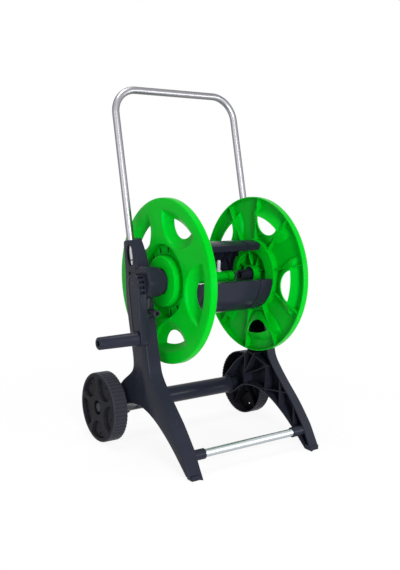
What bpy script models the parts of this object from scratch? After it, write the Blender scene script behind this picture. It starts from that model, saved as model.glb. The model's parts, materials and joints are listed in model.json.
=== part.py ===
"""Hose reel cart: two moulded side frames joined by a crossbar and a foot rod, a bent tube handle, a reel
turned by a crank, a hose connector on each side of its swivel, and two wheels on one axle.

Metres, +Z up, the front of the cart toward -Y and the crank toward -X. Every length below is measured from
the reel's axis at the middle of the cart: x across, y back, z up. Angles round the reel start at the front
and rise over the top.
"""

import math

import bmesh
import bpy
from mathutils import Matrix, Vector
from mathutils.bvhtree import BVHTree
from mathutils.geometry import interpolate_bezier

OBJECT_NAME = "hose_reel_cart"

# Clearances
SEAT_GAP = 0.0003
RUNNING_GAP = 0.0006

# Reel flanges, alike on both sides
REEL_HEIGHT = 0.4012
FLANGE_X = 0.1381
FLANGE_RADIUS = 0.190
FLANGE_WALL = 0.0025
LIP_DEPTH = 0.0162
LIP_ROUNDING = 0.0035
CREASE_RADIUS = 0.164
RECESS_RADIUS = 0.0853
RECESS_DEPTH = 0.0161
HUB_RADIUS = 0.0583
HUB_STAND = 0.0045
HUB_TUBE_BORE = 0.0305
HUB_TUBE_END_X = 0.098
FAR_TUBE_BORE = 0.0203
FAR_TUBE_END_X = 0.113
WALL_DRAFT = 0.0012

# Pockets and windows of a flange
WINDOWS = 5
WINDOW_ANGLE = math.radians(-4.5)
POCKET_RADIUS = 0.070
POCKET_LAND = 0.0067
POCKET_CENTRE = RECESS_RADIUS + POCKET_LAND + POCKET_RADIUS
POCKET_STEP = 0.007
POCKET_STEP_RUN = 0.003
WINDOW_CENTRE = 0.1525
WINDOW_RADIUS = 0.0395
WINDOW_REACH = 0.145
WINDOW_DEPTH = 0.0165
FINS_PER_WINDOW = 2
FIN_THICKNESS = 0.0021
FIN_DEPTH = 0.0158
HUB_RIBS = 8
HUB_RIB_DEPTH = 0.014

# Drum shells between the flanges
DRUM_RADIUS = 0.0855
DRUM_WALL = 0.0025
SHELLS = 2
SHELL_ANGLE = math.radians(122)
SHELL_HALF_SPAN = math.radians(57)
SHELL_EDGE_DEPTH = 0.0160
LATTICE_DEPTH = 0.009
LATTICE_THICKNESS = 0.002
RIB_ROOT = 0.0018
RIB_OFFSET = 0.0005
LATTICE_CELLS_LONG = 3
LATTICE_CELLS_ROUND = 2
SHELL_END_BAND = 0.036
SHELL_GROOVE = 0.0016
SHELL_GROOVE_WIDTH = 0.006
SHELL_EDGE_GROOVE = 0.0009
TONGUES = 3
TONGUE_PITCH = math.radians(26.5)
TONGUE_SHIFT = math.radians(7)
TONGUE_WIDTH = 0.0070
TONGUE_INNER = 0.0655
TONGUE_OUTER = 0.0795
TONGUE_REACH = 0.0015
TONGUE_ROOT = 0.0095
TONGUE_PAD = 0.0030
TONGUE_PAD_EDGE = 0.0015
TONGUE_PAD_MARGIN = math.radians(3)

# Water spindle, its seals and the connector inside the drum
SPINDLE_RADIUS = 0.015
SPINDLE_NECK_RADIUS = 0.0130
SPINDLE_BORE = 0.006
SPINDLE_END_X = 0.060
SPINDLE_WAIST_RADIUS = 0.0100
SPINDLE_WAIST_X = 0.036
SPINDLE_WAIST_LENGTH = 0.008
OUTLET_X = 0.021
OUTLET_RADIUS = 0.0045
OUTLET_REACH = 0.040
OUTLET_WALL = 0.0015
OUTLET_FLANGE = 0.0025
OUTLET_FLANGE_TOP = 0.003
OUTLET_BEAD = 0.008
OUTLET_BEAD_HEIGHT = 0.001
OUTLET_DRAFT = 0.0005
SEAL_RADIUS = 0.0017
SEAL_GROOVE = 0.0020
SEAL_SPREAD = 0.011
SPINDLE_COLLAR_RADIUS = 0.020
SPINDLE_COLLAR = 0.004
PLUG_REACH = 0.012
PLUG_HEAD = 0.004

# Crank
CRANK_RADIUS = 0.1232
CRANK_LEAN = math.radians(9.6)
CRANK_X = 0.2165
CRANK_PIVOT_RADIUS = 0.0220
CRANK_TIP_RADIUS = 0.0185
CRANK_PANEL_DEPTH = 0.0012
CRANK_PANEL_RIM = 0.0035
CRANK_SLOTS = 5
CRANK_SLOT_START = 0.0250
CRANK_SLOT_PITCH = 0.0117
CRANK_SLOT_HEIGHT = 0.0068
CRANK_SLOT_DEPTH = 0.0060
CRANK_SLOT_MARGIN = 0.0035
CRANK_SCREW_RADIUS = 0.003
CRANK_SCREW_HEAD = 0.0055
CRANK_SCREW_REACH = 0.012
GRIP_LENGTH = 0.0965
GRIP_RADIUS = 0.0150
GRIP_END_RADIUS = 0.0140
GRIP_COLLAR_RADIUS = 0.0168
GRIP_COLLAR = 0.005
GRIP_COLLAR_FADE = 0.003
GRIP_EDGE = 0.001
GRIP_ROUNDING = 0.003
GRIP_MOUTH_RADIUS = 0.0066
GRIP_MOUTH_DEPTH = 0.016
PIN_RADIUS = 0.004
PIN_HEAD_RADIUS = 0.0058
PIN_HEAD = 0.0045
PIN_DEPTH = 0.009

# Side frames
LEG_INNER_X = 0.1575
LEG_OUTER_X = 0.1884
LEG_DRAFT = 0.0053
LEG_WALL = 0.003
LEG_EDGE = 0.0022
LEG_RIB = 0.0024
LEG_RIB_SETBACK = 0.0012
LEG_FRONT = ((0.0627, 0.0937), (0.0450, 0.0690), (0.0285, 0.0400), (0.0180, 0.0000))
LEG_REAR = ((0.0753, -0.0880), (0.0840, -0.0500), (0.0881, 0.0080), (0.0935, 0.0500), (0.0975, 0.0800))
LEG_RIBS = (
    ((0.025, 0.052), (0.094, 0.038)),
    ((0.014, -0.050), (0.084, -0.060)),
    ((0.084, -0.060), (-0.002, -0.112)),
)

# Points of a side frame's lower part, as (y, height above the ground)
TOE_FRONT = (
    (-0.0263, 0.2251), (-0.0359, 0.1952), (-0.0600, 0.1662), (-0.0886, 0.1385), (-0.1295, 0.1004),
    (-0.1690, 0.0559),
)
TOE_ARCH = (
    (-0.1265, 0.0423), (-0.0880, 0.0682), (-0.0454, 0.0905), (-0.0006, 0.1032), (0.0400, 0.1027),
    (0.0720, 0.0932), (0.0990, 0.0722),
)
HEEL_REAR = (
    (0.1500, 0.0992), (0.1330, 0.1182), (0.0965, 0.1572), (0.0640, 0.1812), (0.0505, 0.1952),
    (0.0490, 0.2132), (0.0558, 0.2417),
)
TOE_RIBS = (
    ((-0.002, 0.2892), (0.066, 0.2612)),
    ((0.066, 0.2612), (-0.020, 0.2292)),
    ((-0.020, 0.2292), (0.052, 0.2012)),
    ((0.052, 0.1932), (-0.034, 0.1672)),
    ((0.0226, 0.1932), (0.0657, 0.1252)),
    ((-0.034, 0.1712), (0.070, 0.1212)),
    ((0.062, 0.1812), (0.062, 0.1012)),
    ((-0.023, 0.1712), (-0.023, 0.0972)),
    ((-0.010, 0.1072), (-0.130, 0.1212)),
    ((-0.077, 0.1512), (-0.080, 0.0712)),
    ((-0.131, 0.1012), (-0.133, 0.0412)),
)
LOBE_RADIUS = 0.0260
LOBE_START = math.radians(215)
LOBE_SPAN = math.radians(150)
SOLE_FRONT_Y = -0.2034
SOLE_REAR_Y = -0.1790
EYE_CENTRE = (0.0620, 0.0550)
EYE_HALF_WIDTH = 0.0135
EYE_HALF_HEIGHT = 0.0250

# Bosses of a side frame
BOSS_RADIUS = 0.0370
BOSS_TAPER = 0.0025
BOSS_OUTER_X = 0.1945
BOSS_INNER_X = 0.1545
BOSS_WALL = 0.0035
BOSS_EDGE = 0.0030
JOURNAL_RADIUS = 0.0280
JOURNAL_END_X = 0.1040
FAR_JOURNAL_RADIUS = 0.0128
FAR_JOURNAL_END_X = 0.0850
JOURNAL_SPLIT = 0.0030
JOURNAL_SPLIT_DEPTH = 0.0120
BUSH_LENGTH = 0.024
BUSH_INSET = 0.004
CHAMBER_HALF_LENGTH = 0.020

# Handle
HANDLE_X = 0.1739
HANDLE_RADIUS = 0.009
HANDLE_Y = 0.0607
HANDLE_LEAN = math.radians(13.99)
HANDLE_TOP_Z = 0.4374
HANDLE_FOOT_Z = -0.034
HANDLE_BEND = 0.060
HANDLE_SCREW_Z = 0.012
HANDLE_SEAT_REACH = 0.030

# Crossbar, axle and wheels
AXLE_Y = 0.128
WHEEL_RADIUS = 0.0842
WHEEL_WIDTH = 0.036
WHEEL_X = 0.237
WHEEL_WALL = 0.0032
WHEEL_EDGE = 0.004
WHEEL_RIM = 0.010
WHEEL_POCKETS = 5
WHEEL_POCKET_ANGLE = math.radians(-13)
WHEEL_POCKET_CENTRE = 0.066
WHEEL_POCKET_RADIUS = 0.0335
WHEEL_POCKET_DEPTH = 0.006
WHEEL_POCKET_DRAFT = 0.003
WHEEL_HOLE_RADIUS = 0.0032
WHEEL_HOLE_CENTRE = 0.064
WHEEL_RECESS_RADIUS = 0.0175
WHEEL_RECESS_DEPTH = 0.010
WHEEL_HUB_RADIUS = 0.0125
WHEEL_RIBS = 5
WHEEL_RIB = 0.0022
WHEEL_RIB_DEPTH = 0.018
WHEEL_RIB_STEP = 0.004
AXLE_RADIUS = 0.005
AXLE_BOSS_RADIUS = 0.012
CAP_RADIUS = 0.0125
CAP_THICKNESS = 0.0065
CAP_EDGE = 0.002
CAP_FLOOR = 0.0018
CROSSBAR_RADIUS = 0.0215
CROSSBAR_WALL = 0.0026
SPIGOT_LENGTH = 0.017
SPIGOT_WALL = 0.0030

# Foot rod
ROD_Y = -0.162
ROD_HEIGHT = 0.0407
ROD_RADIUS = 0.009
ROD_WALL = 0.0015
ROD_SOCKET_RADIUS = 0.012
ROD_SOCKET_X = 0.1283
ROD_PLUG = 0.010
SCREW_RADIUS = 0.0025
SCREW_HEAD_RADIUS = 0.0050
SCREW_HEAD = 0.0030

# Water inlet in the front edge of the left side frame
INLET_X = 0.1700
INLET_Z = -0.067
INLET_Y = 0.010
INLET_BODY_RADIUS = 0.0120
INLET_BODY_END_Y = 0.004
INLET_BODY_BACK = 0.0096
INLET_NIPPLE_RADIUS = 0.0082
INLET_NIPPLE_END_Y = -0.031
INLET_BORE = 0.0045
INLET_RISER_RADIUS = 0.0080
INLET_BEAD = 0.0090
INLET_BEAD_HEIGHT = 0.0018
INLET_EDGE = 0.0010

# Roundness, in sides of a full turn, or steps of a curve
FINE_SIDES = 24
SHELL_STEPS = 12
LATTICE_STEPS = 3
PLAIN_SIDES = 14
SMALL_SIDES = 8
ARC_STEPS = 6
CURVE_STEPS = 1
ROUND_STEPS = 7
SPOKE_STEPS = 2
LOBE_STEPS = 4
CORNER_STEPS = 3
ARM_STEPS = 8
TUBE_RESOLUTION = 3
FIN_SAMPLES = 48
FIN_TOLERANCE = 0.0011

# Sizes that follow from those above
AXLE_Z = WHEEL_RADIUS - REEL_HEIGHT
ROD_Z = ROD_HEIGHT - REEL_HEIGHT
FLOOR_X = FLANGE_X - RECESS_DEPTH
HUB_X = FLANGE_X + HUB_STAND
SHELL_END_X = FLOOR_X - FLANGE_WALL - SEAT_GAP
CRANK_INNER_X = BOSS_OUTER_X + SEAT_GAP
GRIP_X = CRANK_X + RUNNING_GAP
JOURNAL_BORE = SPINDLE_RADIUS + RUNNING_GAP
CAP_BACK_X = WHEEL_X - WHEEL_RECESS_DEPTH + RUNNING_GAP
AXLE_END_X = CAP_BACK_X + CAP_THICKNESS - CAP_FLOOR - SEAT_GAP
WHEEL_INNER_X = WHEEL_X - WHEEL_WIDTH
INLET_TOP_Z = -(JOURNAL_RADIUS + JOURNAL_BORE) / 2
BOX_LEFT = -(GRIP_X + GRIP_LENGTH)
BOX_RIGHT = WHEEL_X
BOX_FRONT = SOLE_FRONT_Y
BOX_BACK = AXLE_Y + WHEEL_RADIUS

COLOURS = {
    "green_plastic": ((0.0, 0.48, 0.035), 0.42, 0.0),
    "black_plastic": ((0.028, 0.030, 0.036), 0.45, 0.0),
    "wheel_plastic": ((0.022, 0.022, 0.026), 0.55, 0.0),
    "chrome_steel": ((0.78, 0.79, 0.80), 0.16, 1.0),
    "zinc_steel": ((0.66, 0.70, 0.74), 0.30, 1.0),
    "dark_steel": ((0.30, 0.30, 0.31), 0.35, 1.0),
    "grey_plastic": ((0.45, 0.46, 0.48), 0.40, 0.0),
    "dark_plastic": ((0.085, 0.092, 0.100), 0.42, 0.0),
    "rubber": ((0.018, 0.018, 0.018), 0.75, 0.0),
}


def clear_scene():
    for obj in list(bpy.data.objects):
        bpy.data.objects.remove(obj, do_unlink=True)


def new_collection(name):
    collection = bpy.data.collections.new(name)
    bpy.context.scene.collection.children.link(collection)
    return collection


def material(name, colour, roughness, metallic):
    made = bpy.data.materials.new(name)
    made.use_nodes = True
    made.diffuse_color = (*colour, 1.0)
    shader = made.node_tree.nodes["Principled BSDF"]
    shader.inputs["Base Color"].default_value = (*colour, 1.0)
    shader.inputs["Roughness"].default_value = roughness
    shader.inputs["Metallic"].default_value = metallic
    return made


clear_scene()
PARTS = new_collection(OBJECT_NAME)
CUTTERS = new_collection("cutters")


def empty(name, location, parent=None):
    made = bpy.data.objects.new(name, None)
    made.location = location
    made.parent = parent
    made.empty_display_size = 0.03
    PARTS.objects.link(made)
    return made


CART = empty(
    "cart_frame",
    (-(BOX_LEFT + BOX_RIGHT) / 2, -(BOX_FRONT + BOX_BACK) / 2, REEL_HEIGHT),
)
REEL = empty("reel_axis", (0, 0, 0), CART)


def add_mesh(name, bm, parent=CART, location=(0, 0, 0), cutter=False):
    mesh = bpy.data.meshes.new(name)
    bm.to_mesh(mesh)
    bm.free()
    obj = bpy.data.objects.new(name, mesh)
    obj.parent = parent
    obj.location = location
    (CUTTERS if cutter else PARTS).objects.link(obj)
    if cutter:
        obj.hide_render = True
        obj.display_type = "WIRE"
    return obj


def finish(obj, colour):
    """One material for each part, named for it."""
    obj.data.materials.clear()
    obj.data.materials.append(material(obj.name + "_" + colour, *COLOURS[colour]))
    obj.data.shade_smooth()
    obj.data.set_sharp_from_angle(angle=math.radians(35))
    return obj


def boolean(obj, other, operation):
    modifier = obj.modifiers.new(other.name, "BOOLEAN")
    modifier.operation = operation
    modifier.object = other
    modifier.solver = "EXACT"
    return obj


def cut(obj, *cutters):
    for cutter in cutters:
        boolean(obj, cutter, "DIFFERENCE")
    return obj


def join(obj, *others):
    for other in others:
        boolean(obj, other, "UNION")
    return obj


def thicken(obj, thickness):
    """A wall behind an open surface."""
    modifier = obj.modifiers.new("wall", "SOLIDIFY")
    modifier.thickness = thickness
    modifier.offset = -1.0
    modifier.use_even_offset = True
    modifier.use_rim = True
    return obj


def turned(name, profile, sides, **place):
    """A profile of (x, radius) points turned about the X axis: closed, or with both ends on the axis."""
    bm = bmesh.new()
    verts = [bm.verts.new((x, 0, radius)) for x, radius in profile]
    on_axis = profile[0][1] == 0
    ring = verts if on_axis else verts + verts[:1]
    for first, second in zip(ring, ring[1:]):
        bm.edges.new((first, second))
    closed = list(profile) + [profile[0]]
    turn = sum(a[0] * b[1] - b[0] * a[1] for a, b in zip(closed, closed[1:]))
    obj = add_mesh(name, bm, **place)
    screw = obj.modifiers.new("turn", "SCREW")
    screw.axis = "X"
    screw.steps = screw.render_steps = sides
    screw.use_merge_vertices = True
    screw.merge_threshold = 0.00001
    screw.use_normal_calculate = False
    screw.use_normal_flip = turn < 0
    return obj


def add_rod(bm, start, end, radius, sides):
    """A cylinder between two points."""
    start, end = Vector(start), Vector(end)
    turn = Vector((0, 0, 1)).rotation_difference(end - start).to_matrix().to_4x4()
    bmesh.ops.create_cone(
        bm,
        cap_ends=True,
        segments=sides,
        radius1=radius,
        radius2=radius,
        depth=(end - start).length,
        matrix=Matrix.Translation((start + end) / 2) @ turn,
    )


def rod_cutter(name, start, end, radius, sides=PLAIN_SIDES, parent=CART):
    """The cutter of a round hole. Its flats lie on the circle, so that a pin of fewer sides clears them."""
    bm = bmesh.new()
    add_rod(bm, start, end, radius / math.cos(math.pi / sides), sides)
    return add_mesh(name, bm, parent=parent, cutter=True)


def add_box(bm, low, high, turn=None):
    """A box between two corners, then turned by a matrix."""
    low, high = Vector(low), Vector(high)
    matrix = Matrix.Translation((low + high) / 2) @ Matrix.Diagonal((*(high - low), 1.0))
    made = bmesh.ops.create_cube(bm, size=1.0, matrix=matrix)["verts"]
    if turn is not None:
        bmesh.ops.transform(bm, matrix=turn, verts=made)
    return made


def about_x(angle):
    return Matrix.Rotation(angle, 4, "X")


def polar(x, radius, angle):
    """The point at this radius and angle round the reel's axis, the angle rising from the front."""
    return Vector((x, -radius * math.cos(angle), radius * math.sin(angle)))


def loop(bm, points):
    return [bm.verts.new(point) for point in points]


def skin(bm, first, second, close=True):
    """Faces between two rows of points, one for each pair."""
    count = len(first)
    for i in range(count if close else count - 1):
        j = (i + 1) % count
        bm.faces.new((first[i], first[j], second[j], second[i]))


def half_moon(centre, radius, limit, arc_steps, round_steps):
    """A circle cut by the limit circle round the axis: (radius, angle) points, the outer arc first."""
    half = math.acos((limit**2 + centre**2 - radius**2) / (2 * limit * centre))
    points = [(limit, half * (2 * i / arc_steps - 1)) for i in range(arc_steps + 1)]
    start = math.atan2(limit * math.sin(half), limit * math.cos(half) - centre)
    for i in range(1, round_steps):
        turn = start + (2 * math.pi - 2 * start) * i / round_steps
        u, v = centre + radius * math.cos(turn), radius * math.sin(turn)
        points.append((math.hypot(u, v), math.atan2(v, u)))
    return points


def pocketed_face(bm, count, phase, x, limit, outlines, inner_radius, steps):
    """A flat ring with pockets that open at its outer circle. The outlines are (centre, radius, limit, x)
    from the face down. It returns the outer circle, each pocket's last outline and the inner circle."""
    arc_steps, round_steps, spoke_steps, inner_steps = steps
    pockets = []
    for k in range(count):
        turn = phase + 2 * math.pi * k / count
        rows = []
        for centre, radius, reach, depth_x in outlines:
            shape = half_moon(centre, radius, reach, arc_steps, round_steps)
            rows.append(loop(bm, [polar(depth_x, r, a + turn) for r, a in shape]))
        for upper, lower in zip(rows, rows[1:]):
            skin(bm, upper, lower)
        pockets.append(rows)
    half = half_moon(*outlines[0][:3], arc_steps, round_steps)[arc_steps][1]
    outer, border = [], []
    for k, rows in enumerate(pockets):
        outer += rows[0][: arc_steps + 1]
        border += [rows[0][0]] + rows[0][: arc_steps : -1] + [rows[0][arc_steps]]
        start = phase + 2 * math.pi * k / count + half
        span = 2 * math.pi / count - 2 * half
        spoke = loop(bm, [polar(x, limit, start + span * i / spoke_steps) for i in range(1, spoke_steps)])
        outer += spoke
        border += spoke
    inner = loop(bm, [polar(x, inner_radius, 2 * math.pi * i / inner_steps) for i in range(inner_steps)])
    edges = []
    for ring in (border, inner):
        for first, second in zip(ring, ring[1:] + ring[:1]):
            edges.append(bm.edges.get((first, second)) or bm.edges.new((first, second)))
    bmesh.ops.triangle_fill(bm, use_beauty=True, use_dissolve=False, edges=edges)
    return outer, [rows[-1] for rows in pockets], inner


def around(bm, ring, x, radius):
    """A copy of a ring of points at another radius and place on the axis."""
    made = []
    for vert in ring:
        angle = math.atan2(vert.co.z, -vert.co.y)
        made.append(bm.verts.new(polar(x, radius, angle)))
    return made


def face_outward(bm, direction):
    """Turns all faces so that the widest flat face looks along the direction."""
    bmesh.ops.recalc_face_normals(bm, faces=bm.faces)
    flat = max(bm.faces, key=lambda face: abs(face.normal.dot(direction)) * face.calc_area())
    if flat.normal.dot(direction) < 0:
        bmesh.ops.reverse_faces(bm, faces=bm.faces)


def hub_tube(side):
    """The bore of a flange's bearing tube and where it ends inside the drum."""
    return (HUB_TUBE_BORE, HUB_TUBE_END_X) if side < 0 else (FAR_TUBE_BORE, FAR_TUBE_END_X)


def flange(name, side):
    """The reel's side disc: dished hub, seat for the drum, pocketed windows, rim lip, fins and hub ribs."""
    bm = bmesh.new()
    floor = FLANGE_X - WINDOW_DEPTH
    step = FLANGE_X - POCKET_STEP
    slope = (CREASE_RADIUS - WINDOW_REACH) * POCKET_STEP / WINDOW_DEPTH
    outlines = (
        (POCKET_CENTRE, POCKET_RADIUS, CREASE_RADIUS, FLANGE_X),
        (POCKET_CENTRE, POCKET_RADIUS - POCKET_STEP_RUN, CREASE_RADIUS - slope, step),
        (WINDOW_CENTRE, WINDOW_RADIUS, WINDOW_REACH, floor),
    )
    steps = (ARC_STEPS, ROUND_STEPS, SPOKE_STEPS, FINE_SIDES)
    tube_bore, tube_end = hub_tube(side)
    crease, _, recess = pocketed_face(
        bm, WINDOWS, WINDOW_ANGLE, FLANGE_X, CREASE_RADIUS, outlines, RECESS_RADIUS, steps
    )
    rings = [crease]
    for x, radius in (
        (FLANGE_X, FLANGE_RADIUS - LIP_ROUNDING),
        (FLANGE_X - LIP_ROUNDING, FLANGE_RADIUS),
        (FLANGE_X - LIP_DEPTH, FLANGE_RADIUS),
    ):
        rings.append(around(bm, rings[-1], x, radius))
    for inner, outer in zip(rings, rings[1:]):
        skin(bm, inner, outer)
    rings = [recess]
    for x, radius in (
        (FLOOR_X, RECESS_RADIUS - WALL_DRAFT),
        (FLOOR_X, HUB_RADIUS + WALL_DRAFT),
        (HUB_X, HUB_RADIUS),
        (HUB_X, tube_bore),
        (tube_end, tube_bore),
    ):
        rings.append(around(bm, rings[-1], x, radius))
    if side < 0:
        rings.append(around(bm, rings[-1], tube_end, SPINDLE_RADIUS + SEAT_GAP))
    for outer, inner in zip(rings, rings[1:]):
        skin(bm, outer, inner)
    face_outward(bm, Vector((1, 0, 0)))
    surface = BVHTree.FromBMesh(bm)
    if side < 0:
        bmesh.ops.scale(bm, vec=(-1, 1, 1), verts=bm.verts)
        bmesh.ops.reverse_faces(bm, faces=bm.faces)
    body = thicken(add_mesh(name, bm, parent=REEL), FLANGE_WALL)
    join(body, fins(name + "_fins", side, surface), tongue_pads(name + "_pads", side))
    return cut(body, tongue_slots(name + "_slots", side))


def fins(name, side, surface):
    """Radial fins on the inner side of a flange, which follow its outer surface at mid-wall, and hub ribs."""
    bm = bmesh.new()
    inner_x = FLANGE_X - FIN_DEPTH
    count = WINDOWS * FINS_PER_WINDOW
    start = RECESS_RADIUS + FLANGE_WALL / 2
    end = FLANGE_RADIUS - FLANGE_WALL / 2
    stations = [start + (end - start) * i / FIN_SAMPLES for i in range(FIN_SAMPLES + 1)]
    for k in range(count):
        angle = WINDOW_ANGLE + 2 * math.pi * (k + 0.5) / count
        edge = []
        for radius in stations:
            hit = surface.ray_cast(polar(FLANGE_X * 2, radius, angle), Vector((-1, 0, 0)))[0]
            edge.append((min(hit.x, FLANGE_X) - FLANGE_WALL / 2, radius))
        edge = thinned(edge, FIN_TOLERANCE)
        lower = thinned([(min(inner_x, x - FLANGE_WALL), radius) for x, radius in edge], FIN_TOLERANCE)
        blade(bm, edge + lower[::-1], angle, FIN_THICKNESS, side)
    for k in range(HUB_RIBS):
        angle = 2 * math.pi * (k + 0.5) / HUB_RIBS
        low, high = hub_tube(side)[0] + FLANGE_WALL / 2, HUB_RADIUS - FLANGE_WALL / 2
        top = HUB_X - FLANGE_WALL / 2
        shape = [(top, low), (top, high), (top - HUB_RIB_DEPTH, high), (top - HUB_RIB_DEPTH, low)]
        blade(bm, shape, angle, FIN_THICKNESS, side)
    return add_mesh(name, bm, parent=REEL, cutter=True)


def thinned(points, tolerance):
    """The points of a line that it needs to stay within the tolerance of them all."""
    first, last = Vector(points[0]), Vector(points[-1])
    run = (last - first).normalized()
    away = [abs(run.cross(Vector(point) - first)) for point in points]
    far = max(range(len(points)), key=away.__getitem__)
    if away[far] < tolerance:
        return [points[0], points[-1]]
    return thinned(points[: far + 1], tolerance)[:-1] + thinned(points[far:], tolerance)


def blade(bm, shape, angle, thickness, side):
    """A thin radial plate from an outline of (x, radius) points."""
    across = Vector((0, math.sin(angle), math.cos(angle))) * thickness / 2
    rows = []
    for offset in (-across, across):
        rows.append(loop(bm, [polar(x * side, radius, angle) + offset for x, radius in shape]))
    skin(bm, *rows)
    faces = [bm.faces.new(rows[0]), bm.faces.new(rows[1])]
    linked = {face for vert in rows[0] + rows[1] for face in vert.link_faces}
    bmesh.ops.recalc_face_normals(bm, faces=list(linked | set(faces)))


def shell_angle(shell):
    return SHELL_ANGLE + 2 * math.pi * shell / SHELLS


def tongue_angles(shell):
    """The angles of one shell's tongues, to one side of its middle, and to the other side on the next."""
    middle = shell_angle(shell) + (TONGUE_SHIFT if shell % 2 else -TONGUE_SHIFT)
    return [middle + (k - (TONGUES - 1) / 2) * TONGUE_PITCH for k in range(TONGUES)]


def tongue_slots(name, side):
    bm = bmesh.new()
    gap = SEAT_GAP + WALL_DRAFT / 4
    for angle in (angle for shell in range(SHELLS) for angle in tongue_angles(shell)):
        add_box(
            bm,
            (FLOOR_X - 2 * FLANGE_WALL, -TONGUE_OUTER - gap, -TONGUE_WIDTH / 2 - gap),
            (FLOOR_X + TONGUE_PAD + FLANGE_WALL, -TONGUE_INNER + gap, TONGUE_WIDTH / 2 + gap),
            about_x(-angle),
        )
    mirror_to(bm, side)
    return add_mesh(name, bm, parent=REEL, cutter=True)


def tongue_pads(name, side):
    """The raised pads on a flange's recess floor that the tongue slots go through."""
    bm = bmesh.new()
    middle = (TONGUE_INNER + TONGUE_OUTER) / 2
    beyond = TONGUE_WIDTH / 2 / middle + TONGUE_PAD_MARGIN
    span = FLOOR_X - FLANGE_WALL / 2, FLOOR_X + TONGUE_PAD
    reach = HUB_RADIUS + WALL_DRAFT + TONGUE_PAD_EDGE, RECESS_RADIUS - WALL_DRAFT - TONGUE_PAD_EDGE
    for shell in range(SHELLS):
        angles = tongue_angles(shell)
        sector(bm, *span, *reach, angles[0] - beyond, angles[-1] + beyond, SHELL_STEPS // 2)
    mirror_to(bm, side)
    return add_mesh(name, bm, parent=REEL, cutter=True)


def sector(bm, x_low, x_high, inner, outer, start, end, steps):
    """A part of a tube round the reel's axis, from one angle to another, solid."""
    rows = []
    for i in range(steps + 1):
        angle = start + (end - start) * i / steps
        corners = ((x_low, inner), (x_high, inner), (x_high, outer), (x_low, outer))
        rows.append(loop(bm, [polar(x, radius, angle) for x, radius in corners]))
    made = []
    for first, second in zip(rows, rows[1:]):
        for i in range(4):
            j = (i + 1) % 4
            made.append(bm.faces.new((first[i], first[j], second[j], second[i])))
    made += [bm.faces.new(rows[0]), bm.faces.new(rows[-1])]
    bmesh.ops.recalc_face_normals(bm, faces=made)


def drum_shell(name, shell):
    """One of the two shells that the hose winds on: curved wall, edge and end walls, X ribs and tongues."""
    inner = DRUM_RADIUS - DRUM_WALL
    low, rib_low, top = DRUM_RADIUS - SHELL_EDGE_DEPTH, inner - LATTICE_DEPTH, inner + RIB_ROOT
    centre = shell_angle(shell)
    start, end = centre - SHELL_HALF_SPAN, centre + SHELL_HALF_SPAN
    edge_turn = LATTICE_THICKNESS / DRUM_RADIUS
    between = start + edge_turn / 2, end - edge_turn / 2
    end_x = SHELL_END_X
    wall, edges, ends, tongues, grooves, notches = (bmesh.new() for _ in range(6))
    sector(wall, -end_x, end_x, inner, DRUM_RADIUS, start, end, SHELL_STEPS)
    for edge_start in (start, end - edge_turn):
        sector(edges, -end_x, end_x, low, top, edge_start, edge_start + edge_turn, 1)
    for side in (-1, 1):
        span = sorted((side * end_x, side * (end_x - LATTICE_THICKNESS)))
        sector(ends, *span, TONGUE_OUTER - TONGUE_ROOT, top, *between, SHELL_STEPS // 2)
        band = side * (end_x - SHELL_END_BAND)
        span = sorted((band, band - side * SHELL_GROOVE_WIDTH))
        reach = start - edge_turn, end + edge_turn
        depth = DRUM_RADIUS - SHELL_GROOVE, DRUM_RADIUS + SHELL_GROOVE
        sector(grooves, *span, *depth, *reach, SHELL_STEPS)
        notch = SHELL_EDGE_GROOVE / DRUM_RADIUS
        for notch_start in (start - edge_turn, end - notch):
            notch_end = notch_start + edge_turn + notch
            sector(notches, *span, low - SHELL_GROOVE, DRUM_RADIUS, notch_start, notch_end, 1)
        span = sorted((side * (end_x - LATTICE_THICKNESS / 2), side * (FLOOR_X + TONGUE_REACH)))
        for angle in tongue_angles(shell):
            near = (span[0], -TONGUE_OUTER, -TONGUE_WIDTH / 2)
            add_box(tongues, near, (span[1], -TONGUE_INNER, TONGUE_WIDTH / 2), about_x(-angle))
    shell = add_mesh(name, wall, parent=REEL)
    added = {
        "edges": edges,
        "ends": ends,
        "ribs_left": lattice(*between, rib_low, top, -1),
        "ribs_right": lattice(*between, rib_low - RIB_OFFSET, top, 1),
        "tongues": tongues,
    }
    for label, bm in added.items():
        join(shell, add_mesh(f"{name}_{label}", bm, parent=REEL, cutter=True))
    grooves = add_mesh(name + "_grooves", grooves, parent=REEL, cutter=True)
    return cut(shell, grooves, add_mesh(name + "_notches", notches, parent=REEL, cutter=True))


def lattice(start, end, low, top, direction):
    """The slanting ribs on the inner side of a shell that rise one way."""
    bm = bmesh.new()
    long_step = 2 * SHELL_END_X / LATTICE_CELLS_LONG
    round_step = (end - start) / LATTICE_CELLS_ROUND
    for column in range(-LATTICE_CELLS_ROUND + 1, LATTICE_CELLS_LONG):
        cells = [k for k in range(LATTICE_CELLS_ROUND) if 0 <= column + k < LATTICE_CELLS_LONG]
        first, last = cells[0], cells[-1] + 1
        points = []
        for i in range(LATTICE_STEPS * (last - first) + 1):
            along = first + i / LATTICE_STEPS
            x = -SHELL_END_X + (column + along) * long_step
            points.append((direction * x, start + along * round_step))
        strip(bm, points, low, top)
    return bm


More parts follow.
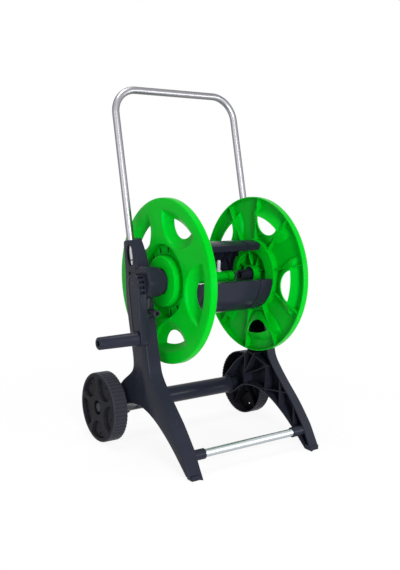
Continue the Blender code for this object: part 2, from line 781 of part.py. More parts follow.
def strip(bm, points, low, high):
    """A thin rib that runs over (x, angle) points."""
    (x_first, turn_first), (x_last, turn_last) = points[0], points[-1]
    run, rise = x_last - x_first, (turn_last - turn_first) * DRUM_RADIUS
    length = math.hypot(run, rise)
    shift_x = -rise / length * LATTICE_THICKNESS / 2
    shift_turn = run / length * LATTICE_THICKNESS / 2 / DRUM_RADIUS
    rows = []
    limit = SHELL_END_X - LATTICE_THICKNESS / 4
    for x, turn in points:
        corners = []
        for sign, radius in ((-1, low), (1, low), (1, high), (-1, high)):
            at_x = max(-limit, min(limit, x + sign * shift_x))
            corners.append(polar(at_x, radius, turn + sign * shift_turn))
        rows.append(loop(bm, corners))
    made = []
    for first, second in zip(rows, rows[1:]):
        for i in range(4):
            j = (i + 1) % 4
            made.append(bm.faces.new((first[i], first[j], second[j], second[i])))
    made += [bm.faces.new(rows[0]), bm.faces.new(rows[-1])]
    bmesh.ops.recalc_face_normals(bm, faces=made)


def spindle():
    """The hollow shaft that the crank turns. Water enters it in the left boss and leaves it in the drum."""
    collar_x = -HUB_TUBE_END_X + FLANGE_WALL + SEAT_GAP
    waist_end = SPINDLE_WAIST_X + SPINDLE_WAIST_LENGTH
    seat = SPINDLE_RADIUS - SEAL_GROOVE
    profile = [(-CRANK_INNER_X, 0), (-CRANK_INNER_X, SPINDLE_RADIUS)]
    for seal_x in (-INLET_X - SEAL_SPREAD, -INLET_X + SEAL_SPREAD):
        low, high = seal_x - SEAL_GROOVE, seal_x + SEAL_GROOVE
        profile += [(low, SPINDLE_RADIUS), (low, seat), (high, seat), (high, SPINDLE_RADIUS)]
    profile += [
        (collar_x, SPINDLE_RADIUS),
        (collar_x, SPINDLE_COLLAR_RADIUS),
        (collar_x + SPINDLE_COLLAR, SPINDLE_COLLAR_RADIUS),
        (collar_x + SPINDLE_COLLAR, SPINDLE_NECK_RADIUS),
        (SPINDLE_WAIST_X, SPINDLE_NECK_RADIUS),
        (SPINDLE_WAIST_X, SPINDLE_WAIST_RADIUS),
        (waist_end, SPINDLE_WAIST_RADIUS),
        (waist_end, SPINDLE_NECK_RADIUS),
        (SPINDLE_END_X, SPINDLE_NECK_RADIUS),
        (SPINDLE_END_X, SPINDLE_BORE),
        (-INLET_X - SPINDLE_BORE / 2, SPINDLE_BORE),
        (-INLET_X - SPINDLE_BORE / 2, 0),
    ]
    body = turned("water_spindle", profile, PLAIN_SIDES, parent=REEL)
    port = rod_cutter(
        "spindle_port",
        (-INLET_X, -SPINDLE_RADIUS * 2, 0),
        (-INLET_X, SPINDLE_RADIUS * 2, 0),
        SPINDLE_BORE / 2,
        SMALL_SIDES,
        REEL,
    )
    outlet = rod_cutter(
        "outlet_port",
        (OUTLET_X, 0, 0),
        (OUTLET_X, 0, SPINDLE_RADIUS * 2),
        OUTLET_RADIUS + SEAT_GAP,
        SMALL_SIDES,
        REEL,
    )
    screw = rod_cutter(
        "crank_screw_hole",
        (-CRANK_X, 0, 0),
        (-CRANK_INNER_X + CRANK_SCREW_REACH + SEAT_GAP, 0, 0),
        CRANK_SCREW_RADIUS + SEAT_GAP,
        SMALL_SIDES,
        REEL,
    )
    cut(body, port, outlet, screw)
    return finish(body, "green_plastic")


def ring(name, x, inner, outer, length, sides, colour, parent=REEL):
    """A plain ring on the X axis, centred at x."""
    low, high = x - length / 2, x + length / 2
    profile = [(low, inner), (low, outer), (high, outer), (high, inner)]
    return finish(turned(name, profile, sides, parent=parent), colour)


def seal(name, x):
    """A rubber ring in its groove, pressed slightly flat between the groove and the bore."""
    seat = SPINDLE_RADIUS - SEAL_GROOVE + SEAT_GAP
    crown = JOURNAL_BORE - SEAT_GAP
    middle, half = (seat + crown) / 2, (crown - seat) / 2
    profile = []
    for k in range(SMALL_SIDES):
        turn = 2 * math.pi * (k + 0.5) / SMALL_SIDES
        profile.append((x + SEAL_RADIUS * math.cos(turn), middle + half * math.sin(turn)))
    return finish(turned(name, profile, PLAIN_SIDES, parent=REEL), "rubber")


def hose_outlet():
    """The hose connector that stands on the spindle inside the drum: a ribbed nipple on a threaded foot."""
    foot = SPINDLE_BORE + SEAT_GAP
    seat = SPINDLE_NECK_RADIUS + SEAT_GAP
    top = SPINDLE_NECK_RADIUS + OUTLET_FLANGE_TOP
    bead = OUTLET_REACH - OUTLET_BEAD
    profile = [
        (foot, OUTLET_RADIUS - OUTLET_WALL),
        (foot, OUTLET_RADIUS),
        (seat, OUTLET_RADIUS),
        (seat, OUTLET_RADIUS + OUTLET_FLANGE),
        (top, OUTLET_RADIUS + OUTLET_FLANGE),
        (top, OUTLET_RADIUS),
        (bead, OUTLET_RADIUS),
        (bead, OUTLET_RADIUS + OUTLET_BEAD_HEIGHT),
        (OUTLET_REACH, OUTLET_RADIUS - OUTLET_DRAFT),
        (OUTLET_REACH, OUTLET_RADIUS - OUTLET_WALL),
    ]
    obj = turned("hose_outlet", profile, SMALL_SIDES, parent=REEL, location=(OUTLET_X, 0, 0))
    obj.rotation_euler = (0, -math.pi / 2, 0)
    return finish(obj, "grey_plastic")


def crank_point(x, reach):
    """The point on the crank's middle line at this distance from its pivot."""
    return Vector((x, -reach * math.sin(CRANK_LEAN), -reach * math.cos(CRANK_LEAN)))


def arm_outline(inset, steps=ARM_STEPS):
    """The arm seen from the side: two arcs of unlike radius and their tangents, as (y, z) about the pivot."""
    top, tip = CRANK_PIVOT_RADIUS - inset, CRANK_TIP_RADIUS - inset
    slant = math.asin((CRANK_PIVOT_RADIUS - CRANK_TIP_RADIUS) / CRANK_RADIUS)
    points = []
    for i in range(steps + 1):
        turn = -slant + (math.pi + 2 * slant) * i / steps
        points.append((top * math.cos(turn), top * math.sin(turn)))
    for i in range(steps + 1):
        turn = math.pi + slant + (math.pi - 2 * slant) * i / steps
        points.append((tip * math.cos(turn), tip * math.sin(turn) - CRANK_RADIUS))
    return points


def prism(name, outline, low_x, high_x, turn=None, parent=REEL, cutter=False, location=(0, 0, 0)):
    """An outline of (y, z) points extruded along X."""
    bm = bmesh.new()
    face = bm.faces.new(loop(bm, [(low_x, y, z) for y, z in outline]))
    made = bmesh.ops.extrude_face_region(bm, geom=[face])["geom"]
    moved = [item for item in made if isinstance(item, bmesh.types.BMVert)]
    bmesh.ops.translate(bm, vec=(high_x - low_x, 0, 0), verts=moved)
    bmesh.ops.recalc_face_normals(bm, faces=bm.faces)
    if turn is not None:
        bmesh.ops.transform(bm, matrix=turn, verts=bm.verts)
    return add_mesh(name, bm, parent=parent, cutter=cutter, location=location)


def crank_arm():
    """The arm with a raised rim round its outer panel, and slots in its front edge round the pivot."""
    lean = about_x(-CRANK_LEAN)
    body = prism("crank_arm", arm_outline(0), -CRANK_X, -CRANK_INNER_X - SEAT_GAP, lean)
    edge = body.modifiers.new("edge", "BEVEL")
    edge.width = CRANK_PANEL_RIM / 3
    edge.segments = 2
    edge.limit_method = "ANGLE"
    edge.angle_limit = math.radians(60)
    panel = prism(
        "crank_panel",
        arm_outline(CRANK_PANEL_RIM),
        -CRANK_X - CRANK_PANEL_DEPTH,
        -CRANK_X + CRANK_PANEL_DEPTH,
        lean,
        cutter=True,
    )
    bm = bmesh.new()
    middle_x = -(CRANK_X + CRANK_INNER_X) / 2
    half = (CRANK_X - CRANK_INNER_X) / 2 - CRANK_SLOT_MARGIN
    for k in range(CRANK_SLOTS):
        along = CRANK_SLOT_START - k * CRANK_SLOT_PITCH
        z = min(along, 0)
        add_box(
            bm,
            (middle_x - half, -CRANK_PIVOT_RADIUS - CRANK_SLOT_DEPTH, z - CRANK_SLOT_HEIGHT / 2),
            (middle_x + half, -CRANK_PIVOT_RADIUS + CRANK_SLOT_DEPTH, z + CRANK_SLOT_HEIGHT / 2),
            lean @ about_x(-(along - z) / CRANK_PIVOT_RADIUS),
        )
    slots = add_mesh("crank_slots", bm, parent=REEL, cutter=True)
    grip_hole = rod_cutter(
        "grip_pin_hole",
        crank_point(-CRANK_X - PIN_DEPTH, CRANK_RADIUS),
        crank_point(-CRANK_X + PIN_DEPTH, CRANK_RADIUS),
        PIN_RADIUS + SEAT_GAP,
        SMALL_SIDES,
        REEL,
    )
    screw_hole = rod_cutter(
        "crank_hole",
        (-CRANK_X - PIN_DEPTH, 0, 0),
        (-CRANK_INNER_X + SEAT_GAP, 0, 0),
        CRANK_SCREW_RADIUS + SEAT_GAP,
        SMALL_SIDES,
        REEL,
    )
    head_seat = rod_cutter(
        "crank_head_seat",
        (-CRANK_X - PIN_DEPTH, 0, 0),
        (-CRANK_X + CRANK_PANEL_DEPTH + SCREW_HEAD, 0, 0),
        CRANK_SCREW_HEAD + SEAT_GAP,
        SMALL_SIDES,
        REEL,
    )
    cut(body, panel, slots, grip_hole, screw_hole, head_seat)
    return finish(body, "black_plastic")


def stepped_pin(name, stations, sides, colour, parent, location=(0, 0, 0), turn=None):
    """A solid turned pin from (x, radius) points, closed on the axis at both ends."""
    profile = [(stations[0][0], 0), *stations, (stations[-1][0], 0)]
    obj = turned(name, profile, sides, parent=parent, location=location)
    if turn is not None:
        obj.rotation_euler = turn
    return finish(obj, colour)


def crank_screw():
    head = -CRANK_X + CRANK_PANEL_DEPTH + SCREW_HEAD - SEAT_GAP
    stations = [
        (head - SCREW_HEAD, CRANK_SCREW_HEAD),
        (head, CRANK_SCREW_HEAD),
        (head, CRANK_SCREW_RADIUS),
        (-CRANK_INNER_X + CRANK_SCREW_REACH, CRANK_SCREW_RADIUS),
    ]
    return stepped_pin("crank_screw", stations, SMALL_SIDES, "dark_steel", REEL)


def crank_grip():
    """The hollow tapered grip that turns on its pin, with a collar at the arm."""
    axis = empty("grip_axis", crank_point(0, CRANK_RADIUS), REEL)
    end = -GRIP_X - GRIP_LENGTH
    mouth = end + GRIP_MOUTH_DEPTH
    bore = PIN_RADIUS + SEAT_GAP
    profile = [
        (-GRIP_X, bore),
        (mouth, bore),
        (mouth, GRIP_MOUTH_RADIUS),
        (end + GRIP_EDGE, GRIP_MOUTH_RADIUS),
        (end, GRIP_MOUTH_RADIUS + GRIP_EDGE),
        (end, GRIP_END_RADIUS - GRIP_ROUNDING),
        (end + GRIP_ROUNDING / 3, GRIP_END_RADIUS - GRIP_ROUNDING / 3),
        (end + GRIP_ROUNDING, GRIP_END_RADIUS),
        (-GRIP_X - GRIP_COLLAR - GRIP_COLLAR_FADE, GRIP_RADIUS),
        (-GRIP_X - GRIP_COLLAR, GRIP_COLLAR_RADIUS),
        (-GRIP_X - GRIP_EDGE, GRIP_COLLAR_RADIUS),
        (-GRIP_X, GRIP_COLLAR_RADIUS - GRIP_EDGE),
    ]
    grip = finish(turned("crank_grip", profile, PLAIN_SIDES, parent=axis), "black_plastic")
    head = mouth - SEAT_GAP
    stations = [
        (head - PIN_HEAD, PIN_HEAD_RADIUS),
        (head, PIN_HEAD_RADIUS),
        (head, PIN_RADIUS),
        (-CRANK_X + PIN_DEPTH - SEAT_GAP, PIN_RADIUS),
    ]
    at = crank_point(0, CRANK_RADIUS)
    stepped_pin("grip_pin", stations, SMALL_SIDES, "zinc_steel", REEL, location=at)
    return grip


def smooth(points, steps):
    """A curve through points, straight at its two ends."""
    points = [Vector((y, z, 0)) for y, z in points]
    made = []
    for i in range(len(points) - 1):
        first, second = points[i], points[i + 1]
        before = points[i - 1] if i else first - (second - first)
        after = points[i + 2] if i + 2 < len(points) else second + (second - first)
        reach = (second - first).length / 3
        handles = (
            first + reach * (second - before).normalized(),
            second - reach * (after - first).normalized(),
        )
        made += interpolate_bezier(first, *handles, second, steps + 1)[:-1]
    made.append(points[-1])
    return [(point.x, point.y) for point in made]


def from_ground(points):
    """Points of (y, height above the ground) as (y, z)."""
    return tuple((y, height - REEL_HEIGHT) for y, height in points)


def leg_outline():
    """The open rim of a side frame, seen along X: front edge, sole, arch, axle lobe, rear edge and top."""
    lobe = []
    for i in range(LOBE_STEPS + 1):
        turn = LOBE_START + LOBE_SPAN * i / LOBE_STEPS
        lobe.append((AXLE_Y + LOBE_RADIUS * math.cos(turn), AXLE_Z + LOBE_RADIUS * math.sin(turn)))
    sole_front, sole_rear = from_ground(((SOLE_FRONT_Y, 0), (SOLE_REAR_Y, 0)))
    front = smooth(LEG_FRONT + from_ground(TOE_FRONT), CURVE_STEPS) + [sole_front]
    arch = smooth((sole_rear, *from_ground(TOE_ARCH)), CURVE_STEPS)
    back = arch + lobe + smooth(from_ground(HEEL_REAR) + LEG_REAR, CURVE_STEPS)
    top = LEG_FRONT[0][1]
    rear_y, shoulder = LEG_REAR[-1]
    corner = top - shoulder
    rounding = []
    for i in range(1, CORNER_STEPS + 1):
        turn = math.pi / 2 * i / CORNER_STEPS
        rounding.append((rear_y - corner * (1 - math.cos(turn)), shoulder + corner * math.sin(turn)))
    return front + back + rounding


def handle_point(x, reach):
    """The point on the handle's leaning plane at this distance along the lean from axis height."""
    return Vector((x, HANDLE_Y + reach * math.sin(HANDLE_LEAN), reach * math.cos(HANDLE_LEAN)))


def leg_ribs():
    """Ends of the ribs inside a side frame: a zigzag between its edges, and cross ribs in the toe."""
    pairs = [*LEG_RIBS, *(from_ground(rib) for rib in TOE_RIBS)]
    foot = HANDLE_FOOT_Z / math.cos(HANDLE_LEAN) - SEAT_GAP - LEG_RIB / 2
    seat = handle_point(0, foot)
    across = Vector((0, math.cos(HANDLE_LEAN), -math.sin(HANDLE_LEAN))) * HANDLE_SEAT_REACH
    ends = [((seat + way * across).y, (seat + way * across).z) for way in (-1, 1)]
    return pairs + [tuple(ends)]


def drafted_prism(outline, stations):
    """An outline of (y, z) points drawn along X through (x, inset) stations, open at its near end."""
    bm = bmesh.new()
    at_x, at_inset = stations[0]
    face = bm.faces.new(loop(bm, [(at_x, y, z) for y, z in outline]))
    bm.normal_update()
    if face.normal.x < 0:
        face.normal_flip()
        bm.normal_update()
    if at_inset:
        around_it = bmesh.ops.inset_region(
            bm, faces=[face], thickness=at_inset, use_even_offset=True, use_boundary=True
        )
        bmesh.ops.delete(bm, geom=around_it["faces"], context="FACES")
    for x, inset in stations[1:]:
        bmesh.ops.inset_region(
            bm,
            faces=[face],
            thickness=inset - at_inset,
            depth=x - at_x,
            use_even_offset=True,
            use_boundary=True,
        )
        at_x, at_inset = x, inset
    return bm


def leg_core(name, side, outline):
    """The space inside a side frame, out to the middle of its walls."""
    low, high = LEG_INNER_X + LEG_RIB_SETBACK, LEG_OUTER_X - LEG_WALL / 2
    slope = LEG_DRAFT / (LEG_OUTER_X - LEG_INNER_X)
    stations = [(x, LEG_WALL / 2 + slope * (x - LEG_INNER_X)) for x in (low, high)]
    bm = drafted_prism(outline, stations)
    rim = [edge for edge in bm.edges if len(edge.link_faces) == 1]
    bmesh.ops.contextual_create(bm, geom=rim)
    bmesh.ops.recalc_face_normals(bm, faces=bm.faces)
    mirror_to(bm, side)
    return add_mesh(name, bm, cutter=True)


def mirror_to(bm, side):
    """Turns a right-hand shape into the left-hand one when the side is negative."""
    if side < 0:
        bmesh.ops.scale(bm, vec=(-1, 1, 1), verts=bm.verts)
        bmesh.ops.reverse_faces(bm, faces=bm.faces)


def rib_lattice(name, side, outline):
    """The side frame's inner ribs, trimmed to its walls."""
    bm = bmesh.new()
    for start, end in leg_ribs():
        start, end = Vector(start), Vector(end)
        turn = about_x(math.atan2(end.y - start.y, end.x - start.x))
        half = (end - start).length / 2
        place = Matrix.Translation((0, *((start + end) / 2))) @ turn
        low, high = LEG_INNER_X - LEG_WALL, LEG_OUTER_X + LEG_WALL
        add_box(bm, (low, -half, -LEG_RIB / 2), (high, half, LEG_RIB / 2), place)
    mirror_to(bm, side)
    ribs = add_mesh(name, bm, cutter=True)
    boolean(ribs, leg_core(name + "_core", side, outline), "INTERSECT")
    ribs.modifiers[-1].use_self = True
    return ribs


def journal(side):
    """The radius of a side frame's journal and where it ends."""
    return (JOURNAL_RADIUS, JOURNAL_END_X) if side < 0 else (FAR_JOURNAL_RADIUS, FAR_JOURNAL_END_X)


def boss_room(name, side):
    """The room that a boss takes out of the shell and its ribs, out to the middle of the boss's wall."""
    near, far = side * (LEG_INNER_X - LEG_WALL), side * (BOSS_OUTER_X - BOSS_WALL / 2)
    radius = BOSS_RADIUS - BOSS_WALL / 2
    profile = [(near, 0), (near, radius - BOSS_TAPER), (far, radius), (far, 0)]
    return turned(name, profile, FINE_SIDES, cutter=True)


def journal_splits(name):
    """Cutters that split the far journal's end into four fingers."""
    reach = FAR_JOURNAL_RADIUS + BOSS_WALL
    low = (FAR_JOURNAL_END_X - JOURNAL_SPLIT_DEPTH, -reach, -JOURNAL_SPLIT / 2)
    high = (FAR_JOURNAL_END_X + JOURNAL_SPLIT_DEPTH, reach, JOURNAL_SPLIT / 2)
    for turn in (math.pi / 4, -math.pi / 4):
        bm = bmesh.new()
        add_box(bm, low, high, about_x(turn))
        yield add_mesh(name, bm, cutter=True)


def reel_boss(name, side):
    """The round cup on a side frame with the journal that carries the reel. The left journal lets the
    spindle through and holds its water chamber, and the right one is a pin that is closed outside."""
    radius, end_x = journal(side)
    outer, inner, end = (side * x for x in (BOSS_OUTER_X, BOSS_INNER_X, end_x))
    floor = outer - side * BOSS_WALL
    tube_bore = radius - BOSS_WALL
    chamber = side * (INLET_X - CHAMBER_HALF_LENGTH)
    profile = [
        (outer - side * BOSS_EDGE, BOSS_RADIUS),
        (inner, BOSS_RADIUS - BOSS_TAPER),
        (inner, BOSS_RADIUS - BOSS_TAPER - BOSS_WALL),
        (floor, BOSS_RADIUS - BOSS_WALL),
        (floor, radius),
        (end, radius),
        (end, tube_bore),
    ]
    if side < 0:
        profile += [(chamber, tube_bore), (chamber, JOURNAL_BORE), (outer, JOURNAL_BORE)]
        profile += [(outer, BOSS_RADIUS - BOSS_EDGE)]
    else:
        profile = [(outer, 0), (outer, BOSS_RADIUS - BOSS_EDGE), *profile, (floor, tube_bore), (floor, 0)]
    return turned(name, profile, FINE_SIDES, cutter=True)


def axle_boss(name, side):
    """The cup that holds the crossbar's end, and the tube that holds the axle out to the wheel."""
    end, rim, back, wheel_face = (
        side * x
        for x in (
            LEG_INNER_X - SPIGOT_LENGTH,
            LEG_INNER_X,
            LEG_OUTER_X - LEG_WALL / 2,
            WHEEL_INNER_X - RUNNING_GAP,
        )
    )
    step = side * LEG_WALL
    spigot = CROSSBAR_RADIUS - CROSSBAR_WALL - SEAT_GAP
    cup = spigot - SPIGOT_WALL
    bore = AXLE_RADIUS + SEAT_GAP
    profile = [
        (end, cup),
        (end, spigot),
        (rim, spigot),
        (rim, LOBE_RADIUS - LEG_WALL / 2),
        (rim + step, LOBE_RADIUS - LEG_WALL),
        (rim + step, spigot),
        (back, spigot),
        (back, AXLE_BOSS_RADIUS),
        (wheel_face, AXLE_BOSS_RADIUS - WALL_DRAFT),
        (wheel_face, bore),
        (end, bore),
        (end, bore + SPIGOT_WALL),
        (back - step, bore + SPIGOT_WALL),
        (back - step, cup),
    ]
    return turned(name, profile, PLAIN_SIDES, location=(0, AXLE_Y, AXLE_Z), cutter=True)


def rod_socket(name, side):
    """The seat of the foot rod's end, with a screw hole through its bottom."""
    mouth, bottom, back = (side * x for x in (ROD_SOCKET_X, LEG_INNER_X, LEG_OUTER_X - LEG_WALL / 2))
    bore, hole = ROD_RADIUS + SEAT_GAP, SCREW_RADIUS + SEAT_GAP
    profile = [
        (mouth, bore),
        (mouth, ROD_SOCKET_RADIUS),
        (bottom, ROD_SOCKET_RADIUS),
        (back, ROD_SOCKET_RADIUS - LEG_DRAFT),
        (back, hole),
        (bottom, hole),
        (bottom, bore),
    ]
    return turned(name, profile, PLAIN_SIDES, location=(0, ROD_Y, ROD_Z), cutter=True)


def sole(name, side):
    """The flat pad under the toe that stands on the ground."""
    bm = bmesh.new()
    low = (LEG_INNER_X, SOLE_FRONT_Y + LEG_DRAFT, -REEL_HEIGHT)
    add_box(bm, low, (LEG_OUTER_X - LEG_DRAFT, SOLE_REAR_Y, 2 * LEG_DRAFT - REEL_HEIGHT))
    mirror_to(bm, side)
    return add_mesh(name, bm, cutter=True)


def side_frame(name, side):
    """A drafted shell, open toward the reel and ribbed inside, with bosses for reel, axle and rod."""
    outline = leg_outline()
    edge = (LEG_OUTER_X - LEG_EDGE, LEG_DRAFT), (LEG_OUTER_X, LEG_DRAFT + LEG_EDGE)
    bm = drafted_prism(outline, [(LEG_INNER_X, 0), *edge])
    mirror_to(bm, side)
    body = thicken(add_mesh(name, bm), LEG_WALL)
    join(body, rib_lattice(name + "_ribs", side, outline))
    near, far = side * (LEG_INNER_X - LEG_WALL), side * BOSS_OUTER_X
    axle, inside = (AXLE_Y, AXLE_Z), (AXLE_RADIUS + AXLE_BOSS_RADIUS) / 2
    axle_room = rod_cutter(name + "_axle_room", (near, *axle), (far, *axle), inside)
    cut(body, boss_room(name + "_cup", side), axle_room)
    bosses = (
        reel_boss(name + "_reel_boss", side),
        axle_boss(name + "_axle_boss", side),
        rod_socket(name + "_rod_socket", side),
        sole(name + "_sole", side),
    )
    join(body, *bosses)
    cut(body, *frame_holes(name, side))
    if side > 0:
        cut(body, *journal_splits(name + "_split"))
    return finish(body, "black_plastic")


def eye_outline():
    """The leaning oval window beside the handle tube, as (y, z) points."""
    made = []
    for i in range(PLAIN_SIDES):
        turn = 2 * math.pi * i / PLAIN_SIDES
        across, along = EYE_HALF_WIDTH * math.cos(turn), EYE_HALF_HEIGHT * math.sin(turn)
        y = across * math.cos(HANDLE_LEAN) + along * math.sin(HANDLE_LEAN)
        z = along * math.cos(HANDLE_LEAN) - across * math.sin(HANDLE_LEAN)
        made.append((EYE_CENTRE[0] + y, EYE_CENTRE[1] + z))
    return made


def handle_screw_y():
    return HANDLE_Y + HANDLE_SCREW_Z * math.tan(HANDLE_LEAN)


def frame_holes(name, side):
    """Cutters for the rod screw, handle, handle screw, eye window and, on the left, the water inlet."""
    near, far = side * (LEG_INNER_X - 2 * SPIGOT_LENGTH), side * (LEG_OUTER_X + SPIGOT_LENGTH)
    seat = side * (LEG_OUTER_X - SCREW_HEAD - SEAT_GAP)
    bottom = side * (LEG_INNER_X - ROD_PLUG)
    rod = (ROD_Y, ROD_Z)
    screw = (handle_screw_y(), HANDLE_SCREW_Z)
    foot = HANDLE_FOOT_Z / math.cos(HANDLE_LEAN) - SEAT_GAP
    above = LEG_FRONT[0][1] + HANDLE_SEAT_REACH
    tube = [handle_point(side * HANDLE_X, reach) for reach in (foot, above)]
    hole, head = SCREW_RADIUS + SEAT_GAP, SCREW_HEAD_RADIUS + SEAT_GAP
    made = [
        rod_cutter(name + "_rod_screw_hole", (bottom, *rod), (far, *rod), hole, SMALL_SIDES),
        rod_cutter(name + "_rod_screw_seat", (seat, *rod), (far, *rod), head, SMALL_SIDES),
        rod_cutter(name + "_handle_hole", *tube, HANDLE_RADIUS + SEAT_GAP),
        rod_cutter(name + "_handle_screw_hole", (near, *screw), (far, *screw), hole, SMALL_SIDES),
        prism(
            name + "_eye",
            eye_outline(),
            *sorted((side * (LEG_OUTER_X - 2 * LEG_WALL), side * (LEG_OUTER_X + LEG_WALL))),
            parent=CART,
            cutter=True,
        ),
    ]
    if side < 0:
        column = (-INLET_X, INLET_Y)
        made += [
            rod_cutter(
                name + "_inlet_hole",
                (-INLET_X, INLET_NIPPLE_END_Y, INLET_Z),
                (-INLET_X, INLET_Y + INLET_BODY_RADIUS, INLET_Z),
                INLET_BODY_RADIUS + SEAT_GAP,
            ),
            rod_cutter(
                name + "_riser_hole",
                (*column, INLET_Z),
                (*column, INLET_TOP_Z + SEAT_GAP),
                INLET_RISER_RADIUS + SEAT_GAP,
                SMALL_SIDES,
            ),
            rod_cutter(
                name + "_water_port",
                (*column, INLET_TOP_Z - SEAT_GAP),
                (*column, 0),
                INLET_BORE,
                SMALL_SIDES,
            ),
        ]
    return made


def handle_tube():
    """The bent steel tube: both ends deep in the side frames, the middle a straight bar."""
    top = HANDLE_TOP_Z / math.cos(HANDLE_LEAN)
    foot = HANDLE_FOOT_Z / math.cos(HANDLE_LEAN)
    points = [handle_point(-HANDLE_X, foot)]
    bend = HANDLE_X - HANDLE_BEND
    steps = ARC_STEPS
    for side in (-1, 1):
        for i in range(steps + 1):
            turn = math.pi / 2 * (i / steps if side < 0 else 1 - i / steps)
            x = side * (bend + HANDLE_BEND * math.cos(turn))
            points.append(handle_point(x, top - HANDLE_BEND * (1 - math.sin(turn))))
    points.append(handle_point(HANDLE_X, foot))
    curve = bpy.data.curves.new("handle_tube", "CURVE")
    curve.dimensions = "3D"
    curve.bevel_depth = HANDLE_RADIUS
    curve.bevel_resolution = TUBE_RESOLUTION
    curve.use_fill_caps = True
    spline = curve.splines.new("POLY")
    spline.points.add(len(points) - 1)
    for target, point in zip(spline.points, points):
        target.co = (*point, 1.0)
    obj = bpy.data.objects.new("handle_tube", curve)
    obj.parent = CART
    PARTS.objects.link(obj)
    bpy.context.view_layer.update()
    evaluated = obj.evaluated_get(bpy.context.evaluated_depsgraph_get())
    mesh = bpy.data.meshes.new_from_object(evaluated)
    bm = bmesh.new()
    bm.from_mesh(mesh)
    bmesh.ops.remove_doubles(bm, verts=bm.verts, dist=0.00001)
    bpy.data.objects.remove(obj, do_unlink=True)
    bpy.data.meshes.remove(mesh)
    tube = add_mesh("handle_tube", bm)
    at = (handle_screw_y(), HANDLE_SCREW_Z)
    for name, side in (("left", -1), ("right", 1)):
        ends = (side * (HANDLE_X - SEAT_GAP), *at), (side * LEG_OUTER_X, *at)
        cut(tube, rod_cutter(name + "_tapped_hole", *ends, SCREW_RADIUS + SEAT_GAP, SMALL_SIDES))
    return finish(tube, "chrome_steel")


def handle_screw(name, side):
    face = side * (LEG_OUTER_X + SEAT_GAP)
    stations = [
        (face + side * SCREW_HEAD, SCREW_HEAD_RADIUS),
        (face, SCREW_HEAD_RADIUS),
        (face, SCREW_RADIUS),
        (side * (HANDLE_X + SEAT_GAP), SCREW_RADIUS),
    ]
    at = (0, handle_screw_y(), HANDLE_SCREW_Z)
    return stepped_pin(name, stations, SMALL_SIDES, "dark_steel", CART, location=at)


def rod_screw(name, side):
    face = side * (LEG_OUTER_X - SCREW_HEAD)
    stations = [
        (face + side * SCREW_HEAD, SCREW_HEAD_RADIUS),
        (face, SCREW_HEAD_RADIUS),
        (face, SCREW_RADIUS),
        (side * (LEG_INNER_X - ROD_PLUG + SCREW_RADIUS), SCREW_RADIUS),
    ]
    return stepped_pin(name, stations, SMALL_SIDES, "dark_steel", CART, location=(0, ROD_Y, ROD_Z))


def crossbar():
    """The tube that spaces the side frames at the axle and lies over their spigots."""
    half = LEG_INNER_X - SEAT_GAP
    bore = CROSSBAR_RADIUS - CROSSBAR_WALL
    profile = [(-half, bore), (-half, CROSSBAR_RADIUS), (half, CROSSBAR_RADIUS), (half, bore)]
    body = turned("crossbar", profile, FINE_SIDES, parent=CART, location=(0, AXLE_Y, AXLE_Z))
    return finish(body, "black_plastic")


def front_rod():
    """The steel foot rod: a tube with a tapped plug in each end."""
    half = LEG_INNER_X - SEAT_GAP
    plug, bore, tapped = half - ROD_PLUG, ROD_RADIUS - ROD_WALL, SCREW_RADIUS + SEAT_GAP
    profile = [
        (-half, tapped),
        (-half, ROD_RADIUS),
        (half, ROD_RADIUS),
        (half, tapped),
        (plug, tapped),
        (plug, bore),
        (-plug, bore),
        (-plug, tapped),
    ]
    body = turned("front_rod", profile, PLAIN_SIDES, parent=CART, location=(0, ROD_Y, ROD_Z))
    return finish(body, "zinc_steel")


def wheel_axle():
    stations = [(-AXLE_END_X, AXLE_RADIUS), (AXLE_END_X, AXLE_RADIUS)]
    at = (0, AXLE_Y, AXLE_Z)
    return stepped_pin("wheel_axle", stations, SMALL_SIDES, "zinc_steel", CART, location=at)


